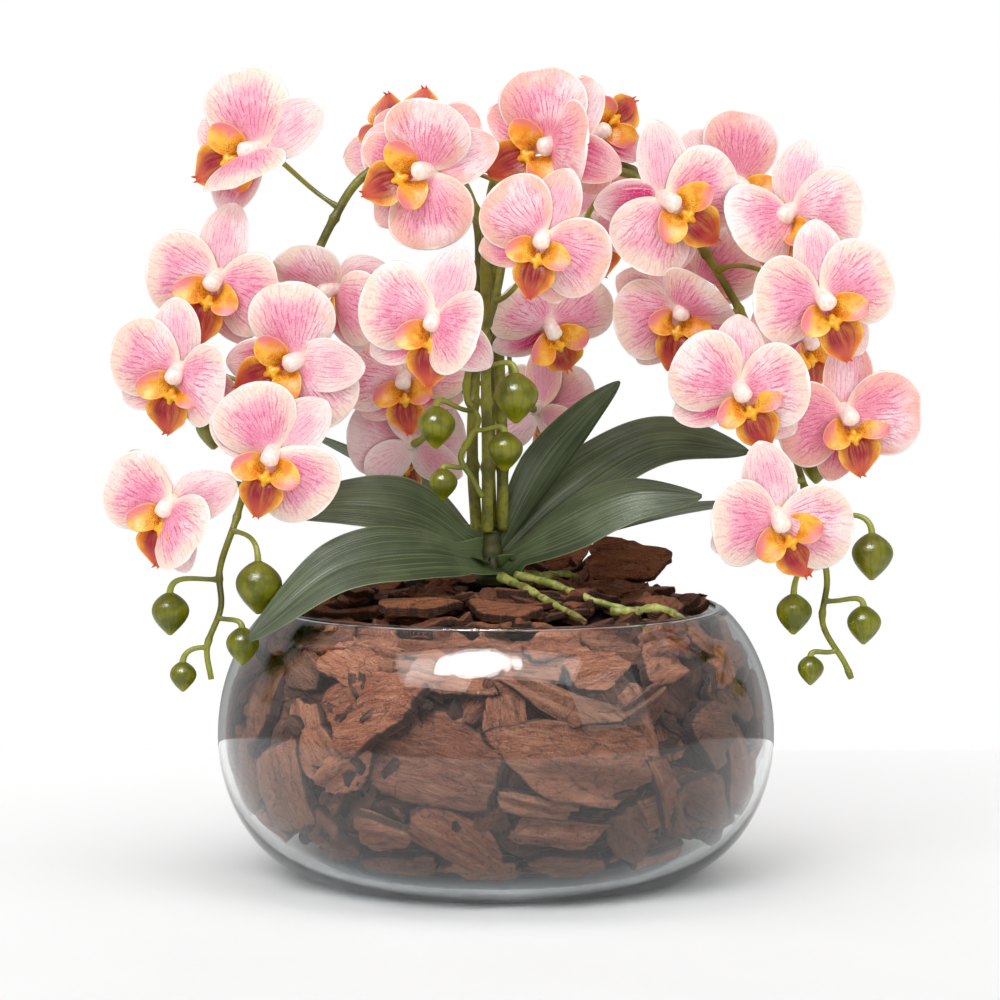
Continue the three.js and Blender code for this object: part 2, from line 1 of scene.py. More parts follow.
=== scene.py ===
# Potted moth orchid in a glass bowl of bark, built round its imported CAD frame. Metres, +Z up, front to -Y.
# Shapes are worked out in millimetres and written into their meshes in metres.
import functools
import math

import bpy
import numpy as np
from mathutils import Matrix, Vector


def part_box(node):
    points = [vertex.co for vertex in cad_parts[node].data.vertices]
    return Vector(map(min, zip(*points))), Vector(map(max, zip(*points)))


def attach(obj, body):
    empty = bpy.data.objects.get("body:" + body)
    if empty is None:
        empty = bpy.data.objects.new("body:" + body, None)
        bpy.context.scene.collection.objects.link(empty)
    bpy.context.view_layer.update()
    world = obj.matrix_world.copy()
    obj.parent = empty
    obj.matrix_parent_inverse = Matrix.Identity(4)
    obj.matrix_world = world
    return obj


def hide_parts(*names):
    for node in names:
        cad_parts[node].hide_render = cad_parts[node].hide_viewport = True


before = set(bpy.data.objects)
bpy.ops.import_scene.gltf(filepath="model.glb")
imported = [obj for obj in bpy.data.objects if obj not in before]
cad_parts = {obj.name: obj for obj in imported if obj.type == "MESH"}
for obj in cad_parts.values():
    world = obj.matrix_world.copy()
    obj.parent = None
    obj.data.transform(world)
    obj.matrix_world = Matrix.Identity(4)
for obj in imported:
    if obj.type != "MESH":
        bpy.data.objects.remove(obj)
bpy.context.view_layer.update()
scene = bpy.context.scene
rng = np.random.default_rng(11)
print("frame loaded:", len(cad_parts), "nodes")


# Small helpers for shapes

def unit(v):  # each vector divided by its length
    return v / np.maximum(np.linalg.norm(v, axis=-1, keepdims=True), 1e-9)


def ring(count):  # angles of points spaced round a turn, as one row
    return np.linspace(0, 2 * np.pi, count, endpoint=False)[None, :]


def spread(*values):  # columns of a grid, each spread to the grid's shape
    return np.stack(np.broadcast_arrays(*values), -1)


def turned(r, z, turn):  # a profile's radius and height carried round Z
    return spread(r * np.cos(turn), r * np.sin(turn), z)


def lens(count):
    # Across and through a flat section: the cosine and sine of a turn, the cosine drawn in a little so
    # that the points are spread evenly across.
    turn = ring(2 * count)
    s = np.cos(turn)
    return s * (1 - 0.18 * (1 - s * s)), np.sin(turn)


def aboutX(degrees):  # the matrix of a turn about X
    a = math.radians(degrees)
    return np.array([[1, 0, 0], [0, math.cos(a), -math.sin(a)], [0, math.sin(a), math.cos(a)]])


def aboutZ(degrees):  # the matrix of a turn about Z
    a = math.radians(degrees)
    return np.array([[math.cos(a), -math.sin(a), 0], [math.sin(a), math.cos(a), 0], [0, 0, 1]])


def ease(x, low, high):  # 0 below low, 1 above high, smooth between
    x = np.clip((x - low) / (high - low), 0, 1)
    return x * x * (3 - 2 * x)


def skin(points, uv, mat=0, shade=0.5):
    # Rings of points, rows x around, become a closed skin: a quad between each two neighbours, and a fan
    # to the mean of the first and last rings. Its faces are turned outwards by the sign of its volume.
    rows, around = points.shape[:2]
    verts = np.concatenate([points.reshape(-1, 3), points[0].mean(0)[None], points[-1].mean(0)[None]])
    if uv.shape[-1] == 2:
        uv = np.concatenate([uv, uv[..., :1]], -1)
    coords = np.concatenate([uv.reshape(-1, 3), uv[0].mean(0)[None], uv[-1].mean(0)[None]])
    row = np.arange(rows - 1)[:, None] * around
    here = np.arange(around)[None, :]
    there = (here + 1) % around
    quads = np.stack([row + here, row + there, row + around + there, row + around + here], -1).reshape(-1, 4)
    a, b = here[0], there[0]
    pole = np.full(around, rows * around)
    last = (rows - 1) * around
    tris = np.concatenate([np.stack([b, a, pole], -1), np.stack([a + last, b + last, pole + 1], -1)])
    return faceOut({"verts": verts, "uv": coords, "quads": quads, "tris": tris, "mat": mat, "shade": shade})


def faceOut(part):
    # The volume is the sum over the triangles of one corner dotted with the cross of the other two. Where
    # it comes out below zero, the corners go round the other way.
    v = part["verts"] - part["verts"].mean(0)
    q, t = part["quads"], part["tris"]
    fans = np.concatenate([q[:, [0, 1, 2]], q[:, [0, 2, 3]], t])
    volume = np.einsum("ij,ij->i", v[fans[:, 0]], np.cross(v[fans[:, 1]], v[fans[:, 2]])).sum()
    if volume < 0:
        part["quads"], part["tris"] = q[:, ::-1], t[:, ::-1]
    return part


def moved(part, turn, shift, size=1.0):  # turned, then sized, then shifted
    return {**part, "verts": part["verts"] @ np.asarray(turn).T * size + shift}


def build(name, parts, materials, nodes):
    # Joins the parts into one mesh object in metres, with a UV map "skin" and point attributes "fan", the
    # third column of the parts' coordinates, and "shade".
    offset, verts, uvs, shades, loops, totals, mats = 0, [], [], [], [], [], []
    for part in parts:
        count = len(part["verts"])
        verts.append(part["verts"])
        uvs.append(part["uv"])
        shades.append(np.broadcast_to(np.asarray(part["shade"], float), (count,)))
        for faces, sides in ((part["quads"], 4), (part["tris"], 3)):
            loops.append((faces + offset).ravel())
            totals.append(np.full(len(faces), sides))
            mats.append(np.full(len(faces), part["mat"]))
        offset += count
    verts, uvs, shades = np.concatenate(verts) * 0.001, np.concatenate(uvs), np.concatenate(shades)
    loops, totals, mats = np.concatenate(loops), np.concatenate(totals), np.concatenate(mats)
    mesh = bpy.data.meshes.new(name)
    mesh.vertices.add(len(verts))
    mesh.vertices.foreach_set("co", verts.astype(np.float32).ravel())
    mesh.loops.add(len(loops))
    mesh.loops.foreach_set("vertex_index", loops.astype(np.int32))
    mesh.polygons.add(len(totals))
    mesh.polygons.foreach_set("loop_start", (np.cumsum(totals) - totals).astype(np.int32))
    mesh.polygons.foreach_set("material_index", mats.astype(np.int32))
    mesh.update(calc_edges=True)
    mesh.polygons.foreach_set("use_smooth", np.ones(len(totals), bool))
    mesh.uv_layers.new(name="skin").data.foreach_set("uv", uvs[loops, :2].astype(np.float32).ravel())
    mesh.attributes.new("fan", "FLOAT", "POINT").data.foreach_set("value", uvs[:, 2].astype(np.float32))
    mesh.attributes.new("shade", "FLOAT", "POINT").data.foreach_set("value", shades.astype(np.float32))
    for material in materials:
        mesh.materials.append(material)
    piece = bpy.data.objects.new(name, mesh)
    scene.collection.objects.link(piece)
    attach(piece, "root")
    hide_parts(*nodes)
    return piece


def route(points, count):
    # A centripetal Catmull-Rom curve through the points, sampled evenly along its length.
    p = np.asarray(points, float)
    p = np.vstack([2 * p[0] - p[1], p, 2 * p[-1] - p[-2]])
    knot = np.cumsum(np.r_[0, np.linalg.norm(np.diff(p, axis=0), axis=1) ** 0.5])
    dense = np.linspace(knot[1], knot[-2], 40 * len(p))
    i = np.clip(np.searchsorted(knot, dense, "right") - 1, 1, len(p) - 3)
    k0, k1, k2, k3 = (knot[i + d][:, None] for d in (-1, 0, 1, 2))
    p0, p1, p2, p3 = (p[i + d] for d in (-1, 0, 1, 2))
    t = dense[:, None]
    a1 = ((k1 - t) * p0 + (t - k0) * p1) / (k1 - k0)
    a2 = ((k2 - t) * p1 + (t - k1) * p2) / (k2 - k1)
    a3 = ((k3 - t) * p2 + (t - k2) * p3) / (k3 - k2)
    b1 = ((k2 - t) * a1 + (t - k0) * a2) / (k2 - k0)
    b2 = ((k3 - t) * a2 + (t - k1) * a3) / (k3 - k1)
    curve = ((k2 - t) * b1 + (t - k1) * b2) / (k2 - k1)
    return evenly(curve, count)


def evenly(curve, count):  # points at equal shares of the curve's length
    far = np.r_[0, np.cumsum(np.linalg.norm(np.diff(curve, axis=0), axis=1))]
    share = np.linspace(0, far[-1], count)
    return np.stack([np.interp(share, far, curve[:, k]) for k in range(3)], -1)


def bezier(a, b, c, d, count):
    # A cubic from a to d that leaves towards b and arrives from c: the four are weighed by the terms of
    # ((1 - t) + t) cubed.
    t = np.linspace(0, 1, count)[:, None]
    return (1 - t) ** 3 * a + 3 * (1 - t) ** 2 * t * b + 3 * (1 - t) * t * t * c + t ** 3 * d


def tube(path, radius, around, mat=0, shade=0.5):
    # A ring of the radius across the path at each of its points. The ring's axes come from the world
    # axis that the path follows least. UV: share round, share along.
    tangent = unit(np.gradient(path, axis=0))
    ref = np.eye(3)[np.argmin(np.abs(tangent).max(0))]
    side = unit(np.cross(tangent, ref))
    up = np.cross(side, tangent)
    turn = ring(around)[..., None]
    r = np.broadcast_to(np.asarray(radius, float), (len(path),))[:, None, None]
    points = path[:, None] + r * (np.cos(turn) * side[:, None] + np.sin(turn) * up[:, None])
    along = np.linspace(0, 1, len(path))[:, None]
    return skin(points, spread(np.abs(turn[..., 0] / np.pi - 1), along), mat, shade)


# Small helpers for materials

def tone(code):  # "e8a0b4" as a linear colour
    c = np.array([int(code[i:i + 2], 16) / 255 for i in (0, 2, 4)])
    c = np.where(c <= 0.04045, c / 12.92, ((c + 0.055) / 1.055) ** 2.4)
    return (*c.tolist(), 1.0)


class Nodes:  # short calls for one material's node tree
    def __init__(self, name, roughness=0.5, **fixed):
        self.material = bpy.data.materials.new(name)
        self.material.use_nodes = True
        self.tree = self.material.node_tree
        self.shader = self.tree.nodes["Principled BSDF"]
        self.shader.inputs["Roughness"].default_value = roughness
        for key, value in fixed.items():
            self.shader.inputs[key.replace("_", " ")].default_value = value

    def put(self, kind, inputs=(), **settings):
        node = self.tree.nodes.new("ShaderNode" + kind)
        for key, value in settings.items():
            setattr(node, key, value)
        for key, value in dict(inputs).items():
            self.plug(value, node.inputs[key])
        return node

    def plug(self, value, socket):
        if isinstance(value, bpy.types.NodeSocket):
            self.tree.links.new(value, socket)
        else:
            socket.default_value = value

    def math(self, operation, a, b=0.0):
        return self.put("Math", {0: a, 1: b}, operation=operation).outputs[0]

    def times(self, *values):
        return functools.reduce(lambda a, b: self.math("MULTIPLY", a, b), values)

    def plus(self, *values):
        return functools.reduce(lambda a, b: self.math("ADD", a, b), values)

    def minus(self, a, b):
        return self.math("SUBTRACT", a, b)

    def most(self, *values):
        return functools.reduce(lambda a, b: self.math("MAXIMUM", a, b), values)

    def zigzag(self, value):  # a triangle wave, 0 to 0.5 and back for each whole step
        return self.math("PINGPONG", value, 0.5)

    def fromMiddle(self, u):  # 0 down a blade's middle and 1 at its edges
        return self.math("ABSOLUTE", self.minus(self.times(u, 2.0), 1.0))

    def ramp(self, value, low, high, start=0.0, end=1.0):  # smooth step between low and high
        inputs = {0: value, 1: low, 2: high, 3: start, 4: end}
        return self.put("MapRange", inputs, interpolation_type="SMOOTHSTEP").outputs[0]

    def blend(self, amount, a, b, kind="MIX"):
        node = self.put("Mix", data_type="RGBA", blend_type=kind, clamp_factor=True)
        for key, value in ((0, amount), (6, a), (7, b)):
            self.plug(value, node.inputs[key])
        return node.outputs[2]

    def noise(self, vector, scale, detail=4.0, roughness=0.5, distortion=0.0):
        inputs = {"Vector": vector, "Scale": scale, "Detail": detail, "Roughness": roughness,
                  "Distortion": distortion}
        return self.put("TexNoise", inputs).outputs[0]

    def cells(self, vector, scale, feature="F1"):
        return self.put("TexVoronoi", {"Vector": vector, "Scale": scale}, feature=feature).outputs[0]

    def uv(self):
        parts = self.put("SeparateXYZ", {0: self.put("UVMap", uv_map="skin").outputs[0]})
        return parts.outputs[0], parts.outputs[1]

    def at(self, x, y, z=0.0):
        return self.put("CombineXYZ", {0: x, 1: y, 2: z}).outputs[0]

    def place(self):  # object coordinates in millimetres
        here = self.put("TexCoord").outputs["Object"]
        return self.put("VectorMath", {0: here, 1: (1000, 1000, 1000)}, operation="MULTIPLY").outputs[0]

    def shade(self, name="shade"):
        return self.put("Attribute", attribute_name=name).outputs["Fac"]

    def bump(self, height, distance, strength=1.0):
        normal = self.put("Bump", {"Height": height, "Distance": distance, "Strength": strength})
        self.plug(normal.outputs[0], self.shader.inputs["Normal"])

    def done(self, colour, roughness=None):
        self.plug(colour, self.shader.inputs["Base Color"])
        if roughness is not None:
            self.plug(roughness, self.shader.inputs["Roughness"])
        return self.material


# Petals and sepals

def veins(n, u, v, count, wander):
    # Fine lines that run out from the base and fork: triangle waves across the blade, wandering by noise,
    # the second set twice as fine and only far out, broken up by streaks stretched along them.
    fan = n.times(u, 9.0)
    vector = n.at(fan, n.times(v, 4.0), n.times(n.shade(), 40.0))
    drift = n.times(n.minus(n.noise(vector, 1.0, 4.0, 0.6), 0.5), wander)
    drift = n.times(drift, n.ramp(v, 0.05, 0.6, 0.25, 1.0))
    across = n.plus(u, drift)
    wave = n.zigzag(n.times(across, count))
    lines = n.ramp(wave, 0.02, 0.2, 1.0, 0.0)
    fork = n.zigzag(n.plus(n.times(across, count * 2), 0.25))
    forks = n.times(n.ramp(fork, 0.03, 0.26, 1.0, 0.0), n.ramp(v, 0.25, 0.5, 0.0, 0.8))
    streaks = n.noise(n.at(n.times(across, count * 2.6), n.times(v, 7.0), n.shade()), 1.0, 3.0)
    net = n.at(n.times(across, count * 1.7), n.times(v, 11.0), n.times(n.shade(), 20.0))
    net = n.ramp(n.cells(net, 1.0, "DISTANCE_TO_EDGE"), 0.0, 0.12, 0.75, 0.0)
    both = n.most(lines, forks, net)
    return n.times(both, n.ramp(streaks, 0.36, 0.6, 0.12, 1.0))


def petalFinish(name, look):
    # Pink in the middle that goes to cream at the rim, a deeper glow over it, veins on that, and a pale
    # heart at the foot. Fine ridges follow the veins.
    n = Nodes(name, look["roughness"], Specular_IOR_Level=0.3)
    u, v = n.uv()
    fan = n.shade("fan") if look["fanned"] else u
    across = n.fromMiddle(u)
    patch = n.noise(n.place(), 0.06, 3.0)
    rim = n.most(across, n.ramp(v, 0.5, 1.0))
    far = n.plus(n.times(rim, 0.8), n.times(patch, 0.5))
    cream = n.blend(n.ramp(n.shade(), 0.25, 0.85), tone(look["cream"]), tone(look["peach"]))
    colour = n.blend(n.ramp(far, look["blush"][0], look["blush"][1]), tone(look["pink"]), cream)
    cloud = n.ramp(n.noise(n.place(), 0.09, 3.0), 0.3, 0.65)
    glow = n.times(n.ramp(v, 0.1, 0.34), n.ramp(v, 0.34, look["reach"], 1.0, 0.0))
    glow = n.times(glow, n.ramp(across, 0.3, 1.0, 1.0, 0.0))
    colour = n.blend(n.times(glow, cloud, look["glow"]), colour, tone(look["deep"]))
    colour = n.blend(n.ramp(n.shade(), 0.55, 1.0, 0.0, look["rose"]), colour, tone("ec8e98"))
    pale = n.times(n.ramp(n.noise(n.place(), 0.045, 2.0), 0.48, 0.66), look["pale"])
    colour = n.blend(pale, colour, tone(look["white"]))
    line = veins(n, fan, v, look["veins"], look["wander"])
    keep = n.times(n.ramp(v, 0.06, 0.24), n.ramp(v, look["reach"] - 0.3, 1.0, 1.0, look["farVeins"]))
    keep = n.times(keep, n.ramp(across, 0.5, 1.0, 1.0, look["farVeins"]))
    colour = n.blend(n.times(line, keep, look["ink"]), colour, tone(look["vein"]))
    if look["patch"] > 0:
        blot = n.times(n.ramp(v, 0.1, 0.22), n.ramp(v, 0.4, 0.92, 1.0, 0.0))
        side = n.ramp(n.math("ABSOLUTE", n.minus(u, look["patchSide"])), 0.26, 0.5, 1.0, 0.0)
        stretch = n.at(n.times(u, 15.0), n.times(v, 1.6), n.times(n.shade(), 20.0))
        streak = n.plus(n.times(n.ramp(n.noise(stretch, 1.0, 3.0), 0.36, 0.52), 0.6), 0.4)
        blot = n.times(blot, side, streak)
        colour = n.blend(n.times(blot, look["patch"]), colour, tone(look["magenta"]))
        spot = n.cells(n.at(n.times(u, 26.0), n.times(v, 34.0)), 1.0)
        dots = n.times(n.ramp(spot, 0.18, 0.34, 1.0, 0.0), n.ramp(v, 0.34, 0.08))
        colour = n.blend(n.times(dots, 0.8), colour, tone("a3173f"))
    colour = n.blend(n.ramp(v, 0.03, look["heart"], 0.85, 0.0), colour, tone("fdf3d8"))
    if look["yellow"] > 0:
        colour = n.blend(n.ramp(v, 0.04, 0.2, look["yellow"], 0.0), colour, tone("f3c02c"))
    grain = n.noise(n.place(), 1.3, 5.0, 0.7)
    colour = n.blend(n.ramp(grain, 0.52, 0.68, 0.0, 0.3), colour, tone("e58fae"))
    colour = n.blend(n.ramp(grain, 0.48, 0.34, 0.0, 0.35), colour, tone("fff3ee"))
    edge = n.most(n.ramp(across, 0.93, 0.985), n.ramp(v, 0.95, 0.99))
    colour = n.blend(n.times(edge, look["edge"]), colour, tone("fffaf4"))
    ridges = n.zigzag(n.times(fan, look["veins"]))
    fine = n.noise(n.place(), 1.6, 3.0)
    n.bump(n.plus(n.times(ridges, 0.7), n.times(fine, 0.4)), 0.0004, 0.4)
    return n.done(colour)


# Colours, how far the blush, pale heart and glow reach, how many veins run how straight and how strong,
# and a magenta patch that only the side sepals have.
petalLook = {
    "roughness": 0.5, "pink": "f6b1c3", "cream": "fae3d0", "white": "fff1f1", "peach": "f9cdb0",
    "deep": "e8759f", "vein": "d9417f", "magenta": "cf0f6b", "rose": 0.4, "blush": (0.4, 0.93),
    "heart": 0.17, "reach": 0.85, "glow": 0.72, "pale": 0.65, "edge": 0.95,
    "veins": 28.0, "wander": 0.06, "farVeins": 0.25, "ink": 0.9,
    "patch": 0.0, "patchSide": 0.5, "yellow": 0.0, "fanned": True,
}
sepalLook = {
    **petalLook, "pink": "f9c6d2", "cream": "fbe6dd", "veins": 11.0, "wander": 0.035, "glow": 0.25,
    "reach": 1.0, "farVeins": 0.55, "ink": 0.6, "edge": 0.9, "fanned": False,
}
sideLook = {
    **sepalLook, "pink": "f7b6c4", "glow": 0.45, "patch": 1.0, "patchSide": 0.52, "ink": 0.7, "pale": 0.3,
}
# shadedLook is a painted-shade copy of the petal finish, with greyer pink and cream, less glow and fainter
# veins, for the flowers turned from the lamps.
shadedLook = {**petalLook, "pink": "eeb4c0", "cream": "ecd6cf", "glow": 0.25, "ink": 0.5}
petalSkin = petalFinish("petal", petalLook)
dorsalSkin = petalFinish("dorsalSepal", {**sepalLook, "yellow": 0.8})
sideSkin = petalFinish("sideSepal", sideLook)
shadedPetalSkin = petalFinish("shadedPetal", shadedLook)


# Lip and column

def lipFinish():  # orange, streaked with crimson down the middle and spotted near the foot
    n = Nodes("lip", 0.42, Specular_IOR_Level=0.4)
    u, v = n.uv()
    across = n.fromMiddle(u)
    patch = n.noise(n.place(), 0.16, 3.0)
    colour = n.blend(n.ramp(patch, 0.35, 0.65), tone("ef8e14"), tone("fcbb35"))
    streak = n.ramp(n.noise(n.at(n.times(u, 16.0), n.times(v, 2.2), n.shade()), 1.0, 3.0), 0.3, 0.62)
    middle = n.times(n.ramp(across, 0.42, 0.98, 1.0, 0.0), n.ramp(v, 0.08, 0.24))
    middle = n.times(middle, n.ramp(v, 0.55, 0.95, 1.0, 0.6))
    colour = n.blend(n.times(middle, n.plus(n.times(streak, 0.3), 0.7)), colour, tone("98002c"))
    low = n.times(n.ramp(v, 0.5, 0.9), n.ramp(across, 0.2, 0.9, 0.6, 0.35))
    colour = n.blend(low, colour, tone("d6404a"))
    spot = n.cells(n.place(), 1.15)
    dots = n.times(n.ramp(spot, 0.2, 0.42, 1.0, 0.0), n.ramp(v, 0.7, 0.25))
    colour = n.blend(n.times(dots, 0.6), colour, tone("8e2412"))
    edge = n.ramp(across, 0.86, 0.98)
    colour = n.blend(n.times(edge, 0.6), colour, tone("ffd27c"))
    n.bump(n.noise(n.place(), 0.9, 4.0), 0.0006, 0.5)
    return n.done(colour)


def lobeFinish():  # orange, spotted near the foot and rosy at the tip
    n = Nodes("sideLobe", 0.42, Specular_IOR_Level=0.4)
    u, v = n.uv()
    across = n.fromMiddle(u)
    patch = n.noise(n.place(), 0.2, 3.0)
    colour = n.blend(n.ramp(patch, 0.35, 0.65), tone("ef9016"), tone("fdc040"))
    spot = n.cells(n.place(), 1.4)
    near = n.times(n.ramp(v, 0.75, 0.2), n.ramp(across, 1.0, 0.4))
    dots = n.times(n.ramp(spot, 0.22, 0.45, 1.0, 0.0), near)
    colour = n.blend(n.times(dots, 0.9), colour, tone("8a1a10"))
    tip = n.plus(n.times(v, 0.8), n.times(n.minus(u, 0.5), 0.7))
    tip = n.plus(tip, n.times(n.minus(patch, 0.5), 0.8))
    colour = n.blend(n.ramp(tip, 0.5, 0.9, 0.0, 0.8), colour, tone("e0638a"))
    colour = n.blend(n.times(n.ramp(across, 0.84, 0.98), 0.6), colour, tone("ffcb63"))
    n.bump(n.noise(n.place(), 0.9, 4.0), 0.0005, 0.5)
    return n.done(colour)


def columnFinish(name, low, high):  # two near tones in soft patches
    n = Nodes(name, 0.4, Specular_IOR_Level=0.45)
    patch = n.noise(n.place(), 0.5, 3.0)
    n.bump(n.noise(n.place(), 1.2, 3.0), 0.0004, 0.4)
    return n.done(n.blend(n.ramp(patch, 0.35, 0.68), tone(low), tone(high)))


# 0 petal, 1 dorsal sepal, 2 side sepal, 3 lip, 4 lip's wing, 5 column, 6 knobs, 7 petal turned from the light
flowerSkins = [
    petalSkin, dorsalSkin, sideSkin, lipFinish(), lobeFinish(),
    columnFinish("column", "fff5e8", "f6dcd2"), columnFinish("callus", "f7a414", "fbcb35"), shadedPetalSkin,
]

flower = {
    "petalLength": 34, "petalWidth": 39, "dorsalLength": 34, "dorsalWidth": 24, "sepalLength": 32,
    "sepalWidth": 21, "thick": 0.8, "arch": 3.2, "rows": 22, "across": 17, "ruffle": 0.9,
}


def blade(length, width, shape, height, thick, rows, cols, mat, shade, lean=0.0):
    # A blade along +Y facing +Z: across it x is half the width times the outline at t, and its section is
    # a lens, s across and h through. height(t, s) bows it forward. Its third coordinate, the fan, is the
    # way out from the base as a share of half a turn.
    t = (0.5 - 0.5 * np.cos(np.pi * np.linspace(0.02, 0.985, rows)))[:, None]
    s, h = lens(cols)
    half = width / 2 * shape(t)
    x, y = s * half, length * (t + lean * s * np.sin(np.pi * t))
    z = height(t, s) + h * thick / 2 * (0.35 + 0.65 * np.sin(np.pi * np.clip(t, 0.05, 0.95)))
    fan = 0.5 + np.arctan2(x, y + 0.08 * length) / np.pi
    return skin(spread(x, y, z), spread((s + 1) / 2, t, fan), mat, shade)


def outline(a, b):  # t^a (1-t)^b, scaled to 1 at its widest
    peak = a / (a + b)
    top = peak ** a * (1 - peak) ** b
    return lambda t: t ** a * (1 - t) ** b / top


def tepalTurn(angle, fold, roll=0.0):
    # +Y goes out at the angle, clockwise from up, and forward by fold; +Z stays the face.
    a, f, r = np.radians([angle, fold, roll])
    out = np.array([math.sin(a) * math.cos(f), math.cos(a) * math.cos(f), math.sin(f)])
    side = np.array([math.cos(a), -math.sin(a), 0.0])
    front = np.cross(side, out)
    side, front = side * math.cos(r) + front * math.sin(r), front * math.cos(r) - side * math.sin(r)
    return np.stack([side, out, front], 1)


def makeTepals(f, shade, turnedFromLight):
    # A dorsal sepal, two petals and two side sepals: blades that bow forward by half a wave along them,
    # cup by the square of s across them, and ruffle more towards the edge and tip.
    rows, cols, thick = flower["rows"], flower["across"], flower["thick"]
    turns, folds = f["turns"], f.get("folds", (0, 8, 8))
    parts = []
    wild = rng.uniform(-1, 1, (5, 4))
    for k in range(5):
        petal = k in (1, 2)
        length = (flower["dorsalLength"], flower["petalLength"])[petal] if k < 3 else flower["sepalLength"]
        width = (flower["dorsalWidth"], flower["petalWidth"])[petal] if k < 3 else flower["sepalWidth"]
        shape = outline(0.62, 0.5) if petal else outline(0.6, 0.62)
        w = wild[k]
        waves = 1.3 + 0.5 * w[0]

        def height(t, s, petal=petal, w=w, waves=waves):
            bow = flower["arch"] * np.sin(np.pi * t ** 0.8) * (1 - 0.35 * s * s)
            edge = np.abs(s) ** 2.5 * t * np.sin(2 * np.pi * waves * t + 2.5 * w[1] + np.sign(s) * w[2] * 2)
            cup = (-2.6 if petal else 2.2) * s * s * np.sin(np.pi * t) + (0.3 * w[3] - 0.8) * t * t * 2
            return bow + flower["ruffle"] * edge + cup

        mat = 7 if turnedFromLight else (0 if petal else (1 if k == 0 else 2))
        longer, lean = 1 + 0.03 * w[0], 0.035 * w[1]
        part = blade(length * longer, width, shape, height, thick, rows, cols, mat, shade, lean)
        fold = folds[k] if k < 3 else 0
        depth = 0.9 if petal else -1.6
        parts.append(moved(part, tepalTurn(turns[k], fold, 5 * w[2]), np.array([0, 0, depth + 0.15 * k])))
    return parts


lip = {
    "length": 22, "width": 21, "thick": 0.9, "foot": (0, -7.5, 2.0),
    "trowel": ([0, 0.1, 0.3, 0.5, 0.7, 0.86, 0.95, 1], [0.3, 0.5, 0.86, 1.0, 0.84, 0.46, 0.26, 0.12]),
    "wingLength": 18, "wingWidth": 14, "wingFoot": (1.4, -7.6, 2.0),
    "hornLength": 3.4, "hornWidth": 1.2, "hornFoot": (0.7, -28.2, 4.4),
    "knobRadius": 3.4, "knobDepth": 2.6, "knobPlace": (0, -11.0, 7.2),
}
column = {
    "path": [(0, 1, -3), (0, 1.4, 3), (0, 0.6, 8), (0, -4.4, 10.6)],
    "radius": ([0, 0.25, 0.5, 0.7, 0.86, 0.95, 1], [4.3, 3.9, 3.7, 4.1, 4.1, 3.1, 1.3]),
}


def makeLip(angle, shade):
    # The middle lobe is a broad trowel, hollow along its middle, that ends in a blunt tip with two fine
    # curled points. Two wings stand up and forward beside the column, and four knobs sit where they meet.
    def dip(t, s):
        hollow = 2.4 * s * s * np.sin(np.pi * t) - 0.8 * np.exp(-(s / 0.16) ** 2) * (1 - t)
        return 6.4 * np.sin(np.pi * t ** 0.9) * (1 - 0.3 * t) - 1.5 * t + hollow

    def cup(t, s):
        return 2.6 * np.sin(np.pi * t) + 2.2 * s * s * np.sin(np.pi * t)

    middle = blade(lip["length"], lip["width"], lambda t: np.interp(t, *lip["trowel"]), dip, lip["thick"],
                   22, 13, 3, shade)
    parts = [moved(middle, tepalTurn(180, 10), np.array(lip["foot"]))]
    for hand in (-1, 1):
        wing = blade(lip["wingLength"], lip["wingWidth"], outline(0.7, 0.5), cup, lip["thick"],
                     14, 10, 4, shade, 0.12 * hand)
        wingTurn = tepalTurn(180 - hand * 84, 38, hand * 24)
        parts.append(moved(wing, wingTurn, np.array(lip["wingFoot"]) * [hand, 1, 1]))
        horn = blade(lip["hornLength"], lip["hornWidth"], outline(0.3, 0.8), lambda t, s: 1.6 * t * t, 0.5,
                     8, 5, 3, shade)
        horn["uv"][:, 1] = 1.0
        parts.append(moved(horn, tepalTurn(180 - hand * 24, 40), np.array(lip["hornFoot"]) * [hand, 1, 1]))
    # The knobs are one ball whose radius swells four times round it.
    turn, rise = ring(20), np.linspace(0.06, 0.94, 9)[:, None] * np.pi
    r = np.sin(rise) * (1 + 0.28 * np.cos(4 * turn))
    knob = turned(lip["knobRadius"] * r, -lip["knobDepth"] * np.cos(rise), turn)
    parts.append(skin(knob + lip["knobPlace"], np.zeros(knob.shape[:2] + (2,)), 6, shade))
    # The column is a thick peg that bends towards the lip and ends in a rounder cap.
    path = bezier(*np.array(column["path"], float), 15)
    parts.append(tube(path, np.interp(np.linspace(0, 1, 15), *column["radius"]), 14, 5, shade))
    return [moved(part, aboutZ(180 - angle), 0.0) for part in parts]


def facing(yaw, dip):  # +Z of the flower looks to -Y, then down by dip and round to +X by yaw
    return aboutZ(yaw) @ aboutX(90 + dip)


# The four sprays

bowl = {
    "radius": 130.0, "height": 126.0, "bulge": 66.0, "foot": 78.0, "mouth": 105.0, "wall": 3.0, "base": 5.0,
}
drawnFor = 120.0  # the bowl height that the sprays' and front chips' heights are written for
lift = bowl["height"] - drawnFor

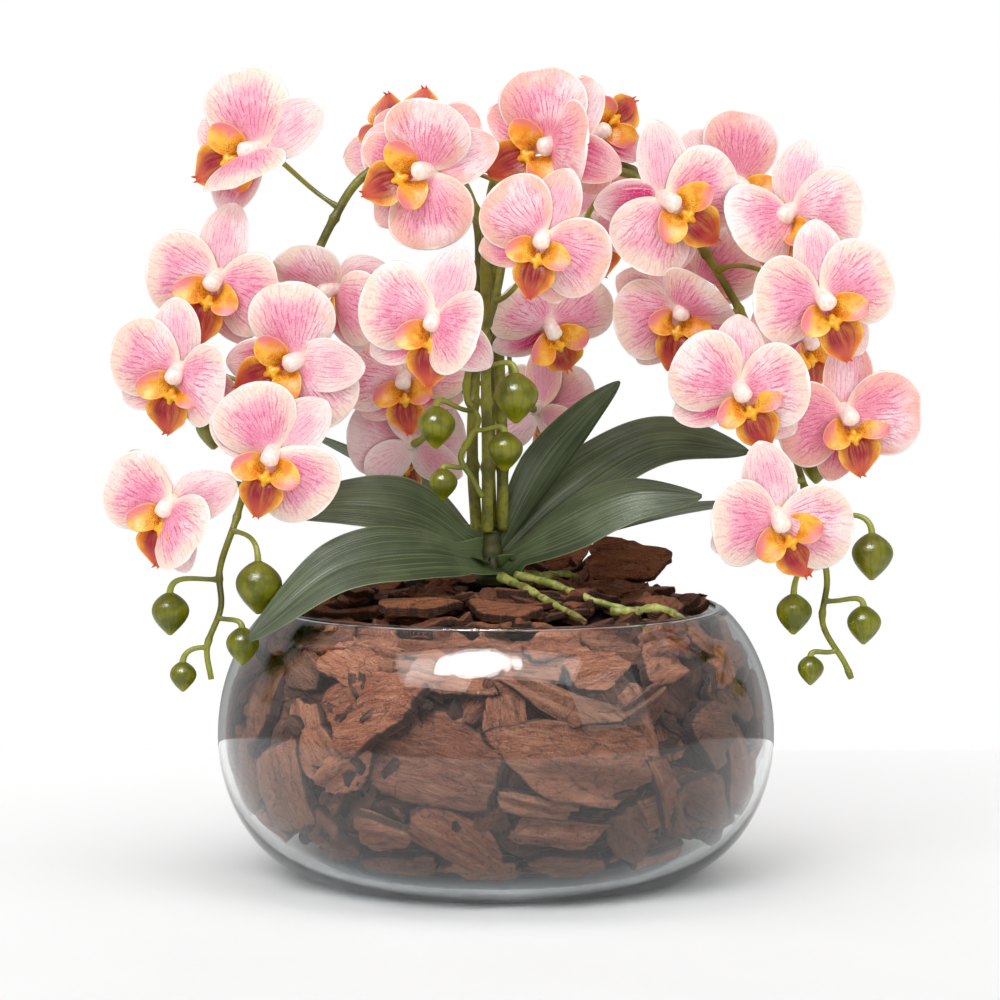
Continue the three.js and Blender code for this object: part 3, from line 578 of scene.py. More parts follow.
# Routes, open flowers and buds stand where the CAD has them. "at" is the share of the route that a flower
# grows from. Its turns are the ways its dorsal sepal, two petals, two side sepals and lip point, clockwise
# from up, and its folds tip the first three forward. A bud is its share of the route, place and size.
front = [0, -76, 76, -122, 122, 180]
sprays = {
    "left": {
        "route": [
            (-9, 0, 154.8), (-11, -1, 192), (-9, 3, 250), (-9, 4, 300), (-22, 4, 324), (-44, 2, 328),
            (-63, 0, 318), (-76, -2, 298), (-86, -4, 276), (-97, -10, 245), (-107, -18, 212),
            (-114, -28, 180), (-118, -40, 163), (-125, -48, 140), (-124, -54, 124), (-130, -58, 106),
            (-128, -60, 92)],
        "flowers": [
            {"at": 0.5, "place": (-110, -6, 331), "yaw": -22, "dip": 0, "size": 1.1,
             "turns": [57, -12, 165, -70, 215, 246], "folds": [0, 5, 62]},
            {"at": 0.58, "place": (-72, -27, 268), "yaw": -42, "dip": 6, "size": 0.95,
             "turns": [76, -30, 122, -58, 165, 228], "folds": [0, 52, 8]},
            {"at": 0.6, "place": (-127, -16, 272), "yaw": -16, "dip": 4, "size": 1.04,
             "turns": [11, -81, 112, -112, 160, 197], "folds": [0, 12, 20]},
            {"at": 0.66, "place": (-90, -42, 235), "yaw": -6, "dip": 2, "size": 1.04,
             "turns": [95, -5, 148, -92, 190, 245], "folds": [25, 8, 10]},
            {"at": 0.7, "place": (-144, -30, 230), "yaw": -14, "dip": 8, "size": 1.0,
             "turns": [-3, -69, 107, -115, 120, 193], "folds": [0, 5, 35]},
            {"at": 0.76, "place": (-100, -60, 194), "yaw": -2, "dip": 4, "size": 1.0,
             "turns": [48, -24, 137, -60, 165, 194]},
            {"at": 0.8, "place": (-145, -62, 171), "yaw": -18, "dip": 4, "size": 0.97,
             "turns": [72, -68, 138, -42, 172, 193], "folds": [0, 8, 40]}],
        "buds": [(0.72, (-132, 2, 202), 0.85), (0.85, (-107, -56, 133), 1.05), (0.9, (-147, -54, 121), 0.85),
                 (0.94, (-114, -60, 107), 0.75), (0.97, (-141, -58, 93), 0.6)],
    },
    "right": {
        "route": [
            (3, -2, 154.8), (3, -2, 192), (1, -1, 250), (0, 0, 298), (9, 1, 315), (34, 2, 319), (56, 4, 322),
            (74, 6, 314), (92, 6, 292), (110, 4, 264), (124, 0, 236), (134, -8, 204), (142, -14, 178),
            (149, -22, 152), (152, -28, 134), (150, -30, 114), (160, -32, 96), (163, -32, 89)],
        "flowers": [
            {"at": 0.46, "place": (77, -27, 308), "yaw": 14, "dip": 6, "size": 1.05,
             "turns": [-8, 205, 75, 265, 165, 128], "folds": [0, 15, 5]},
            {"at": 0.54, "place": (136, -15, 302), "yaw": -26, "dip": 0, "size": 1.05,
             "turns": [12, 242, 88, 258, 150, 192], "folds": [0, 60, 5]},
            {"at": 0.58, "place": (147, -40, 263), "yaw": 10, "dip": 2, "size": 1.05,
             "turns": [-4, -92, 66, -110, 140, 157], "folds": [0, 20, 5]},
            {"at": 0.62, "place": (84, -16, 258), "yaw": 8, "dip": 4, "size": 0.97,
             "turns": [-62, -105, 40, 215, 110, 190], "folds": [0, 8, 62]},
            {"at": 0.68, "place": (110, -48, 222), "yaw": 2, "dip": 4, "size": 1.0,
             "turns": [-2, -62, 80, -112, 128, 155], "folds": [0, 5, 26]},
            {"at": 0.72, "place": (159, -30, 211), "yaw": 12, "dip": 4, "size": 1.02,
             "turns": [3, -105, 88, -88, 190, 165], "folds": [0, 10, 28]},
            {"at": 0.8, "place": (127, -52, 165), "yaw": 4, "dip": 12, "size": 1.04,
             "turns": [-15, -92, 98, -118, 140, 152], "folds": [0, 25, 25]}],
        "buds": [(0.74, (150, 6, 184), 0.7), (0.84, (172, -32, 145), 0.95), (0.88, (136, -36, 119), 0.82),
                 (0.92, (168, -36, 114), 0.78), (0.97, (144, -34, 93), 0.6)],
    },
    "centre": {
        "route": [
            (-4, -10, 154.8), (-4, -11, 192), (-5, -10, 250), (-4, -9, 300), (0, -16, 318), (4, -28, 306),
            (3, -34, 280), (-2, -36, 256), (-12, -34, 232), (-13, -36, 217), (-8, -38, 208), (-12, -40, 199),
            (-16, -41, 191), (-11, -42, 182), (-6, -42, 173)],
        "flowers": [
            {"at": 0.56, "place": (25, -32, 332), "yaw": -8, "dip": 0, "size": 1.06,
             "turns": [35, -10, 92, -60, 110, 245], "folds": [0, 5, 58]},
            {"at": 0.6, "place": (-31, -40, 320), "yaw": -12, "dip": -4, "size": 1.05,
             "turns": [68, 8, 172, -65, 225, 250], "folds": [0, 30, 8]},
            {"at": 0.7, "place": (21, -64, 290), "yaw": -4, "dip": 4, "size": 0.94,
             "turns": [22, -45, 120, -102, 168, 193]},
            {"at": 0.76, "place": (-27, -60, 254), "yaw": -6, "dip": 4, "size": 1.04,
             "turns": [20, -72, 112, -120, 132, 185], "folds": [0, 5, 52]}],
        "buds": [(0.8, (9, -48, 218), 1.0), (0.86, (-27, -50, 205), 0.85), (0.89, (4, -48, 194), 0.8),
                 (0.95, (-24, -46, 179), 0.65)],
    },
    "back": {
        "route": [
            (-2, 3, 154.8), (-3, 8, 192), (-1, 12, 240), (-1, 14, 290), (4, 22, 322), (24, 34, 334),
            (52, 40, 330), (80, 40, 314), (102, 36, 292), (114, 32, 270)],
        "flowers": [
            {"at": 0.22, "place": (-40, 18, 194), "yaw": -150, "dip": 10, "size": 0.95, "turns": front},
            {"at": 0.32, "place": (20, 53, 209), "yaw": 140, "dip": 10, "size": 0.95, "turns": front},
            {"at": 0.4, "place": (-42, 3, 226), "yaw": -10, "dip": 6, "size": 0.9,
             "turns": [-10, -86, 66, -132, 112, 175]},
            {"at": 0.5, "place": (24, -10, 252), "yaw": 20, "dip": 30, "size": 0.92,
             "turns": [-20, -60, 60, 235, 85, 150]},
            {"at": 0.52, "place": (-34, 16, 335), "yaw": -15, "dip": -15, "size": 0.9,
             "turns": [170, 250, 82, -60, 62, 0]},
            {"at": 0.58, "place": (-46, 44, 333), "yaw": -25, "dip": -8, "size": 0.95,
             "turns": [-95, 165, 122, 60, 195, -12]},
            {"at": 0.72, "place": (46, 20, 340), "yaw": 30, "dip": -5, "size": 0.9,
             "turns": [-130, -70, 208, -10, 106, 52]},
            {"at": 0.74, "place": (46, 62, 300), "yaw": 160, "dip": 0, "size": 0.95,
             "turns": [10, -66, 86, -112, 132, 190]},
            {"at": 0.88, "place": (112, 31, 317), "yaw": 20, "dip": 0, "size": 1.0,
             "turns": [-45, -95, 8, -80, 120, 150]},
            {"at": 0.97, "place": (95, 18, 269), "yaw": -10, "dip": 6, "size": 0.95,
             "turns": [0, -76, 50, -122, 84, 180]},
            {"at": 0.99, "place": (146, 34, 244), "yaw": 30, "dip": 10, "size": 0.9,
             "turns": [-10, -86, 66, -132, 112, 170]}],
        "buds": [],
    },
}


def stemFinish(name, dark, light):  # green in soft patches, browned low down and paler at the tips
    n = Nodes(name, 0.42, Specular_IOR_Level=0.45)
    here = n.place()
    low = n.noise(here, 0.07, 3.0)
    fine = n.noise(here, 0.5, 4.0)
    colour = n.blend(n.ramp(low, 0.35, 0.62), tone(dark), tone(light))
    brown = n.times(n.ramp(fine, 0.5, 0.66), n.ramp(n.shade(), 0.5, 0.0))
    colour = n.blend(n.times(brown, 0.75), colour, tone("573512"))
    colour = n.blend(n.ramp(n.shade(), 0.7, 1.0, 0.0, 0.6), colour, tone("a8b04a"))
    n.bump(n.plus(fine, n.times(n.noise(here, 2.2, 2.0), 0.4)), 0.0006, 0.5)
    return n.done(colour)


def budFinish():  # olive with faint stripes from end to end, paler at the tip
    n = Nodes("bud", 0.3, Specular_IOR_Level=0.5)
    u, v = n.uv()
    here = n.place()
    colour = n.blend(n.ramp(n.noise(here, 0.11, 3.0), 0.35, 0.65), tone("575b00"), tone("7d7d02"))
    stripe = n.zigzag(n.times(n.plus(u, n.times(n.noise(here, 0.2), 0.1)), 6.0))
    colour = n.blend(n.ramp(stripe, 0.0, 0.2, 0.35, 0.0), colour, tone("475003"))
    colour = n.blend(n.ramp(v, 0.75, 1.0, 0.0, 0.5), colour, tone("a5a51c"))
    n.bump(n.plus(n.noise(here, 0.5, 3.0), n.times(stripe, 0.6)), 0.0006, 0.4)
    return n.done(colour)


stemSkin, crownSkin = stemFinish("stem", "5a5c10", "8a8c26"), stemFinish("crown", "33361a", "4d5324")
budSkin = budFinish()
spray = {
    "stalk": 2.8, "tip": 1.3, "pedicel": 1.1, "budLength": 24, "budRadius": 10, "heart": 4,
    "nodeEvery": 30, "nodeSwell": 0.34, "nodeLength": 1.7,
}


def makeBud(at, size):
    # Turned egg with three faint grooves: its radius is the sine of a skewed share of its length.
    t, turn = np.linspace(0.03, 0.985, 20)[:, None], ring(24)
    groove = 1 + 0.035 * np.cos(3 * turn) * np.sin(np.pi * t)
    r = spray["budRadius"] * size * np.sin(np.pi * t ** 1.25) ** 0.72 * groove
    points = turned(r, spray["budLength"] * size * (t - 0.5), turn) + at
    return skin(points, spread(np.abs(turn / np.pi - 1), 1 - t), 1, 0.5)


def makeSpray(name, plan):
    # The spike is a tube along its route that swells at its nodes. A stalk leaves it at a share of its
    # length, square to it, and comes up to each flower's back or each bud's top.
    path = route(plan["route"], 260) + [0, 0, lift]
    long = np.linalg.norm(np.diff(path, axis=0), axis=1).sum()
    far = np.linspace(0, long, len(path))
    radius = np.interp(far, [0, long], [spray["stalk"], spray["tip"]])
    knots = np.arange(spray["nodeEvery"], long, spray["nodeEvery"])[:, None]
    swell = np.exp(-((far[None] - knots) / spray["nodeLength"]) ** 2).sum(0)
    radius = radius * (1 + spray["nodeSwell"] * swell)
    green = np.interp(far / long, [0, 0.4, 0.7, 1], [0.2, 0.35, 0.6, 0.8])
    parts = [tube(path, radius, 14, 0, np.r_[np.repeat(green, 14), 0.2, 0.8])]

    def stalk(share, end, arriving, fat):
        i = int(round(share * (len(path) - 1)))
        start, along = path[i], unit(path[min(i + 1, len(path) - 1)] - path[i - 1])
        away = end - start
        reach = np.linalg.norm(away) * 0.45
        outward = unit(away - along * (away @ along))
        curve = bezier(start, start + outward * reach, end - arriving * reach, end, 26)
        t = np.linspace(0, 1, 26)
        r = spray["pedicel"] * (1 + 0.7 * np.exp(-(t / 0.07) ** 2) + fat * t ** 3)
        shade = np.r_[np.repeat(0.75 + 0.25 * t, 10), 0.7, 1.0]
        return tube(curve, r, 10, 0, shade)

    headings = [facing(f["yaw"], f["dip"]) for f in plan["flowers"]]
    for f, turn in zip(plan["flowers"], headings):
        back = np.array(f["place"]) + [0, 0, lift] - turn[:, 2] * (spray["heart"] * f["size"] - 1)
        parts.append(stalk(f["at"], back, turn[:, 2], 0.75))
    for share, at, size in plan["buds"]:
        top = np.array(at, float) + [0, 0, lift + spray["budLength"] * size / 2 - 1.5]
        parts.append(stalk(share, top, np.array([0, 0, -1.0]), 0.5))
        parts.append(makeBud(np.array(at) + [0, 0, lift], size))
    build("spray_" + name, parts, [stemSkin, budSkin], ["spike_" + name])
    for i, (f, turn) in enumerate(zip(plan["flowers"], headings)):
        shade = rng.uniform(0, 1)
        # Flowers that face away from the front take the shaded petal finish: painted shade for being turned
        # from the light.
        turnedFromLight = abs(f["yaw"]) > 100
        parts = makeTepals(f, shade, turnedFromLight) + makeLip(f["turns"][5], shade)
        parts = [moved(part, turn, np.array(f["place"]) + [0, 0, lift], f["size"]) for part in parts]
        label = f"{name}_{i + 1}"
        build("orchid_" + label, parts, flowerSkins, ["flower_" + label])


for sprayName, plan in sprays.items():
    makeSpray(sprayName, plan)
print("sprays built")


# Leaves, crown and aerial roots

def leafFinish():  # dark green with fine lines along it, paler down the midrib and at the edges
    n = Nodes("leaf", 0.42, Specular_IOR_Level=0.42)
    u, v = n.uv()
    here = n.place()
    across = n.fromMiddle(u)
    cloud = n.noise(here, 0.03, 3.0)
    colour = n.blend(n.ramp(cloud, 0.35, 0.65), tone("3a4729"), tone("596845"))
    lines = n.noise(n.at(n.times(u, 46.0), n.times(v, 1.6), n.shade()), 1.0, 3.0)
    colour = n.blend(n.ramp(lines, 0.48, 0.7, 0.0, 0.45), colour, tone("7f8d64"))
    colour = n.blend(n.ramp(lines, 0.48, 0.32, 0.0, 0.4), colour, tone("27331f"))
    colour = n.blend(n.ramp(across, 0.05, 0.0, 0.0, 0.35), colour, tone("6f8060"))
    colour = n.blend(n.ramp(across, 0.955, 0.99, 0.0, 0.7), colour, tone("8a9a63"))
    colour = n.blend(n.ramp(v, 0.12, 0.0, 0.0, 0.6), colour, tone("5d6d3c"))
    speck = n.noise(here, 1.4, 4.0)
    n.bump(n.plus(n.times(lines, 1.0), n.times(speck, 0.25)), 0.0007, 0.55)
    return n.done(colour, n.ramp(speck, 0.3, 0.7, 0.34, 0.5))


leafSkin = leafFinish()
foot = np.array([-2.0, -6.0, 130.0 + lift])  # of the crown
crownRadius, crownHeight, rimTop, mouth = 9.0, 24.0, bowl["height"], bowl["mouth"]
leafFoot = 3.0  # how far from the crown's middle a leaf's own foot is


def beside(bearing, rise):  # just outside the crown, at a bearing and a height above its foot
    a = math.radians(bearing)
    return foot + [(crownRadius + 0.4) * math.cos(a), (crownRadius + 0.4) * math.sin(a), rise]


def fromCrown(*step):  # a step away from the crown's foot
    return foot + np.array(step, float)


leaves = {
    "leaf_left_front": {"width": 36, "keel": 1.5, "side": (0.2, -0.75, -0.65), "route": [
        beside(235, 12), fromCrown(-32, -38, 17), (-mouth * 0.67, -62, rimTop + 22),
        (-mouth * 1.05, -74, rimTop - 9)]},
    "leaf_left_middle": {"width": 35, "keel": 3, "side": (0, -0.7, -0.7), "route": [
        beside(175, 16), fromCrown(-34, -8, 33), fromCrown(-66, -14, 38), fromCrown(-96, -14, 34)]},
    "leaf_left_back": {"width": 24, "keel": 5, "side": (0.4, -1, -0.3), "route": [
        beside(130, 20), fromCrown(-36, 46, 40), fromCrown(-60, 70, 52), fromCrown(-88, 84, 66)]},
    "leaf_upright": {"width": 21, "keel": 4, "side": (0.62, 0.1, -0.5), "route": [
        beside(55, 19), fromCrown(24, 16, 54), fromCrown(42, 16, 76), fromCrown(60, 14, 94)]},
    "leaf_right_back": {"width": 38, "keel": 3, "side": (0.1, 0.75, 0.8), "route": [
        beside(35, 15), fromCrown(38, 24, 42), fromCrown(78, 32, 64), fromCrown(122, 32, 60)]},
    "leaf_right_front": {"width": 34, "keel": 3, "side": (0.1, -0.75, -0.7), "route": [
        beside(-30, 14), fromCrown(33, -20, 29), fromCrown(64, -28, 43), fromCrown(96, -28, 43)]},
    "leaf_right_low": {"width": 34, "keel": 2, "side": (0, 1, 0.1), "route": [
        beside(5, 9), fromCrown(44, 8, 22), fromCrown(82, 12, 32), fromCrown(118, 12, 38)]},
}


def makeLeaf(name, leaf, shade):
    # A strap along its route: a lens section whose width swells quickly and rounds off to a blunt point,
    # folded down along its midrib, with its edges lifted by the keel and a slow wave along them.
    rows, inward, level = 72, leafFoot / crownRadius, np.array(leaf["side"], float)
    start = foot + (np.array(leaf["route"][0]) - foot) * [inward, inward, 0.75]
    path = route([start, *leaf["route"][1:]], rows)
    tangent = unit(np.gradient(path, axis=0))
    side = unit(level - tangent * (tangent @ level)[:, None])
    normal = np.cross(tangent, side)
    t = np.linspace(0.004, 0.996, rows)[:, None]
    s, h = lens(22)
    reach = np.sin(np.pi * t ** 0.8) ** 0.62 * (0.55 + 0.45 * np.minimum(1, t * 2.2))
    reach = np.maximum(reach, 0.62 * (1 - ease(t, 0.0, 0.5)))
    wave = 0.7 * np.abs(s) ** 2 * np.sin(9 * t + 3 * s + 5 * shade) * np.sin(np.pi * t)
    midrib = 0.9 * np.exp(-(s / 0.07) ** 2) * np.sin(np.pi * t) ** 0.5
    clasp = 7 * s * s * np.exp(-(t / 0.1) ** 2)  # the foot closes round the crown
    up = leaf["keel"] * s * s * reach + wave - midrib + clasp + h * (1 - 0.45 * s * s)
    out = s * reach * leaf["width"] / 2
    points = path[:, None] + side[:, None] * out[..., None] + normal[:, None] * up[..., None]
    build("blade_" + name, [skin(points, spread((s + 1) / 2, t), 0, shade)], [leafSkin], [name])


for i, (name, leaf) in enumerate(leaves.items()):
    makeLeaf(name, leaf, i / len(leaves))


def rootFinish():  # green in bands, with brown scars and a brown tip
    n = Nodes("root", 0.5)
    v = n.uv()[1]
    here = n.place()
    band = n.noise(here, 0.16, 3.0)
    colour = n.blend(n.ramp(band, 0.35, 0.62), tone("7d8a33"), tone("b3b85e"))
    colour = n.blend(n.ramp(n.noise(here, 0.3, 4.0), 0.52, 0.66, 0.0, 0.75), colour, tone("6b4a24"))
    colour = n.blend(n.ramp(v, 0.84, 0.97, 0.0, 0.85), colour, tone("6e5128"))
    n.bump(n.noise(here, 0.8, 4.0), 0.001, 0.5)
    return n.done(colour)


def bedTop(x, y):
    # The height of the bark's top: a dome that falls by a power of the share of the way out, and a bank
    # at the back.
    reach = np.minimum(1, np.hypot(x, y) / 102)
    back = np.maximum(0, y / mouth) * (1 - reach ** 4) * 2
    return rimTop - 7 + 15 * (1 - reach ** 2.2) + 7 * np.minimum(1, back)


def lying(x, y, over=0.0):  # a root's middle where it lies on the bark, or over it
    return (x, y, float(bedTop(x, y)) + 4.2 + over)


roots = [
    [lying(2, -20, 3), lying(14, -40, 1), lying(27, -64), lying(40, -84, 1)],
    [lying(10, -14, 3), lying(27, -32, 2), lying(44, -48), lying(66, -58)],
    [lying(52, -66, 1), lying(61, -71, 4), (72, -78, rimTop + 6.2), (84, -88, rimTop + 2.2)],
    [lying(12, -8, 3), lying(22, -2, 2), lying(32, 2, 3), lying(40, 0, 2)],
]
rootSkin = rootFinish()
for i, points in enumerate(roots):
    path = route(points, 60)
    t = np.linspace(0, 1, 60)
    lumps = 1 + 0.12 * np.sin(23 * t + i) + 0.08 * np.sin(51 * t + 2 * i)
    thick = 2.2 * np.interp(t, [0, 0.9, 1], [1, 0.6, 0.3]) * lumps
    build(f"root_{i + 1}", [tube(path, thick, 14)], [rootSkin], [f"aerial_root_{i + 1}"])

# The crown is a short stem wrapped in the feet of its leaves: its radius swells at each of four sheaths.
t, turn = np.linspace(0, 1, 34)[:, None], ring(32)
wrap = np.mod(t * 4 + 0.12 * np.sin(turn), 1)
r = crownRadius * (0.86 + 0.1 * np.sin(np.pi * wrap)) * np.interp(t, [0, 0.1, 0.5, 1], [0.8, 0.9, 0.7, 0.45])
crown = skin(turned(r, crownHeight * t, turn) + foot, spread(np.abs(turn / np.pi - 1), 0.1 + 0.2 * t), 0, 0.1)
build("crown_stem", [crown], [crownSkin], ["crown"])
print("leaves, roots and crown built")


# Glass bowl

def wallCurve(inset, floorZ, low, high):
    # The same wall as the CAD: below the bulge a quarter of an ellipse that leaves the foot level, above
    # it part of a taller one. Gives radius and height.
    swell = bowl["radius"] - inset - bowl["foot"]
    a = np.linspace(0, 1, low) * np.pi / 2
    below = spread(bowl["foot"] + swell * np.sin(a), floorZ + (bowl["bulge"] - floorZ) * (1 - np.cos(a)))
    mouthTurn = math.acos((bowl["mouth"] - inset - bowl["foot"]) / swell)
    rise = (bowl["height"] - bowl["bulge"]) / math.sin(mouthTurn)
    a = np.linspace(0, 1, high + 1)[1:] * mouthTurn
    above = spread(bowl["foot"] + swell * np.cos(a), bowl["bulge"] + rise * np.sin(a))
    return np.concatenate([below, above])


def makeBowl():
    # The profile goes out under the foot, up the outside, over a rounded lip and down the inside, and is
    # turned about Z. Both ends of the profile close on the axis.
    outside, inside = wallCurve(0, 0, 26, 24), wallCurve(bowl["wall"], bowl["base"], 26, 24)[::-1]
    a, half = np.linspace(0, np.pi, 9)[1:-1], bowl["wall"] / 2
    rim = spread(bowl["mouth"] - half + half * np.cos(a), bowl["height"] - half + half * np.sin(a))
    outside[-1, 1] = inside[0, 1] = bowl["height"] - half
    under = np.linspace(6, bowl["foot"] - 2, 8)
    under = spread(under, np.interp(under, [0, 60, 70, 76], [1.6, 1.4, 0.3, 0.0]))
    floor = spread(np.linspace(bowl["foot"] - 3, 6, 8), bowl["base"])
    profile = np.concatenate([under, outside, rim, inside, floor])
    turn, r, z = ring(128), profile[:, :1], profile[:, 1:]
    return skin(turned(r, z, turn), spread(turn / 2 / np.pi, z / bowl["height"]))


def glassFinish():
    # Clear glass that lets lamps through, so that what it holds is lit.
    n = Nodes("clearGlass", 0.0, IOR=1.45, Transmission_Weight=1.0)
    n.shader.inputs["Base Color"].default_value = tone("f8fbfb")
    clear = n.put("BsdfTransparent", {"Color": (0.93, 0.95, 0.95, 1)})
    ray = n.put("LightPath")
    mix = n.put("MixShader", {0: ray.outputs["Is Shadow Ray"], 1: n.shader.outputs[0], 2: clear.outputs[0]})
    n.plug(mix.outputs[0], n.tree.nodes["Material Output"].inputs["Surface"])
    return n.material


build("bowl", [makeBowl()], [glassFinish()], ["glass_bowl"])
print("bowl built")


# Bark

def barkFinish(name, tint):
    # Grain runs along each chip. Cracks follow it, flakes have lifted off in patches, and the edge shows the
    # layers, darkened by painted shade for the gaps between chips; each chip has its own tone from its shade,
    # which is also painted shade on the chips set further back.
    n = Nodes(name, 0.75, Specular_IOR_Level=0.25)
    u, v = n.uv()
    shade, side = n.shade(), n.shade("fan")
    own = n.times(shade, 30.0)
    flat = n.at(u, v, own)
    grain = n.noise(n.at(n.times(u, 0.09), n.times(v, 0.42), own), 1.0, 6.0, 0.62, 0.6)
    broad = n.noise(flat, 0.09, 3.0, 0.5)
    rough = n.noise(flat, 0.3, 6.0, 0.68)
    fine = n.noise(flat, 1.4, 5.0, 0.65)
    crack = n.cells(n.at(n.times(u, 0.05), n.times(v, 0.14), own), 1.0, "DISTANCE_TO_EDGE")
    crack = n.plus(crack, n.times(n.minus(rough, 0.5), 0.22))
    hue = n.blend(n.ramp(n.noise(n.at(own, 0.0), 1.0, 0.0), 0.35, 0.65), tone("773a22"), tone("85553f"))
    colour = n.blend(n.ramp(broad, 0.35, 0.65, 0.0, 0.6), hue, tone("92553a"))
    colour = n.blend(n.ramp(grain, 0.45, 0.66, 0.0, 0.6), colour, tone("a3705a"))
    colour = n.blend(n.ramp(grain, 0.44, 0.28, 0.0, 0.8), colour, tone("3c1b11"))
    colour = n.blend(n.ramp(rough, 0.42, 0.3, 0.0, 0.7), colour, tone("331710"))
    colour = n.blend(n.ramp(fine, 0.52, 0.7, 0.0, 0.5), colour, tone("a97f68"))
    colour = n.blend(n.ramp(fine, 0.48, 0.34, 0.0, 0.5), colour, tone("341a12"))
    colour = n.blend(n.ramp(crack, 0.03, 0.0, 0.0, 0.4), colour, tone("1d0c07"))
    # The edge is darkened with stripes: the stripes are the bark's layers, and the darkness is painted shade
    # in the gaps between chips.
    layer = n.zigzag(n.plus(n.times(side, 4.0), n.times(grain, 3.0)))
    onEdge = n.ramp(side, 0.08, 0.55)
    colour = n.blend(n.times(onEdge, n.ramp(layer, 0.1, 0.4, 0.95, 0.6)), colour, tone("1c0b06"))
    # dark multiplies the colour by the chip's shade. That is partly a random tone of its own, and partly
    # painted shade on the chips set further back and on the bits between them.
    dark = n.ramp(shade, 0.0, 1.0, 0.1, 1.25)
    green, blue = (n.times(dark, share) for share in tint)
    colour = n.blend(1.0, colour, n.put("CombineColor", {0: dark, 1: green, 2: blue}).outputs[0], "MULTIPLY")
    height = n.plus(n.times(grain, 1.2), n.times(rough, 0.9), n.times(fine, 0.35),
                    n.ramp(crack, 0.0, 0.05, -0.15, 0.0), n.times(layer, onEdge, 0.6))
    n.bump(height, 0.0026, 0.9)
    return n.done(colour)


barkSkin, topSkin = barkFinish("bark", (1.0, 0.93)), barkFinish("topBark", (0.96, 0.68))
bark = {
    "gap": 0.6, "overRim": 1.5, "ragged": 0.05, "dome": 0.3, "bits": 260, "loose": 150, "clearOfCrown": 17,
    # each course's height, how many chips it has and how long they are
    "courses": [(12, 18, 34), (31, 19, 42), (51, 19, 46), (72, 19, 46), (92, 19, 44), (110, 17, 38)],
}
inner = wallCurve(bowl["wall"], bowl["base"], 60, 60)
order = np.argsort(inner[:, 1])
innerZ, innerR = inner[order, 1], inner[order, 0]


def wallRadius(z):  # the glass's inside radius at a height
    return np.interp(z, innerZ, innerR)


def makeChip(long, wide, thick, rows, around, seed, shade):
    # A broken flake: its outline is where four to six straight cuts meet, worn round at the corners and
    # finely ragged; its two faces step along its grain, as layered bark does, and break off steeply at the
    # edge. Its long way is X and its face +Z. The third coordinate is 0 on the faces and 1 on the edge.
    r, edge = np.random.default_rng(seed), bark["ragged"]
    phase = r.uniform(0, 2 * np.pi, (6, 2))
    size = r.normal(0, 1, 6) * [1.2, 1.0, 0.8, 0.6, 0.5, 0.4]
    turn = ring(around)
    across = np.linspace(-1, 1, rows)[:, None]  # -1 back face's middle, 0 edge, 1 front face's middle
    inward = 1 - np.abs(across) ** 1.5
    reach = np.clip(np.interp(inward, [0, 0.55, 0.8, 1], [0.04, 0.74, 0.97, 1.0]), 0, 1)
    cuts = int(r.integers(4, 7))
    bearing = (np.arange(cuts) + r.uniform(-0.28, 0.28, cuts)) * 2 * np.pi / cuts + phase[0, 0] * (cuts != 4)
    away = r.uniform(0.78, 1.0, cuts)
    # A cut at a distance d and bearing b is r = d / cos(turn - b); the corners are worn by a power mean.
    slices = np.maximum(np.cos(turn[..., None] - bearing), 0.02) / away
    box = (slices ** 9).sum(-1) ** (-1 / 9)
    ragged = size[0] * np.sin(3 * turn + phase[0, 0]) + size[1] * np.sin(5 * turn + phase[1, 0])
    ragged = 1 + edge * ragged * 0.5
    ragged = ragged + edge * (0.6 * np.sin(11 * turn + phase[2, 0]) * np.sin(4 * turn + phase[3, 0]))
    ragged = ragged + edge * 0.5 * r.normal(0, 1, around)[None, :] * (around > 30)
    x, y = reach * box * ragged * np.cos(turn) * long / 2, reach * box * ragged * np.sin(turn) * wide / 2
    wave = sum(size[k] * np.sin(x * (k + 1) * 1.1 / long + y * (6 - k) * 2.2 / wide + phase[k, 1])
               for k in range(6))
    step = np.round(wave * 1.4) / 1.4 * 0.75 + wave * 0.25
    face = np.sign(across) * np.interp(np.abs(across), [0, 0.1, 0.24, 0.5, 1], [0, 0.5, 0.88, 0.98, 1.0])
    z = face * thick / 2 + 0.17 * thick * step * np.abs(face) + 0 * x
    bend = r.normal(0, bark["dome"], 2)
    z = z - bend[0] * (x / long * 2) ** 2 * thick * 0.5 + bend[1] * (x * y) / (long * wide) * thick
    side = np.broadcast_to(1 - np.abs(face), x.shape)
    return skin(np.stack([x, y, z], -1), np.stack([x + seed * 7.3, y, side], -1), 0, shade)


def axes(normal, twist):  # a turn whose +Z is the normal, with +X level before the twist
    level = unit(np.cross([0, 0, 1.0], normal))
    return np.stack([level, np.cross(normal, level), normal], 1) @ aboutZ(twist)


def heldIn(part):
    # Whatever passes the glass is pushed back to just inside it, and nothing goes through the floor.
    x, y, z = part["verts"].T
    z = np.clip(z, bowl["base"] + bark["gap"], None)
    most = wallRadius(z) - bark["gap"]
    shrink = np.minimum(1, most / np.maximum(np.hypot(x, y), 1e-6))
    shrink = np.where(z < bowl["height"] + bark["overRim"], shrink, 1)
    part["verts"] = np.stack([x * shrink, y * shrink, z], -1)
    return part


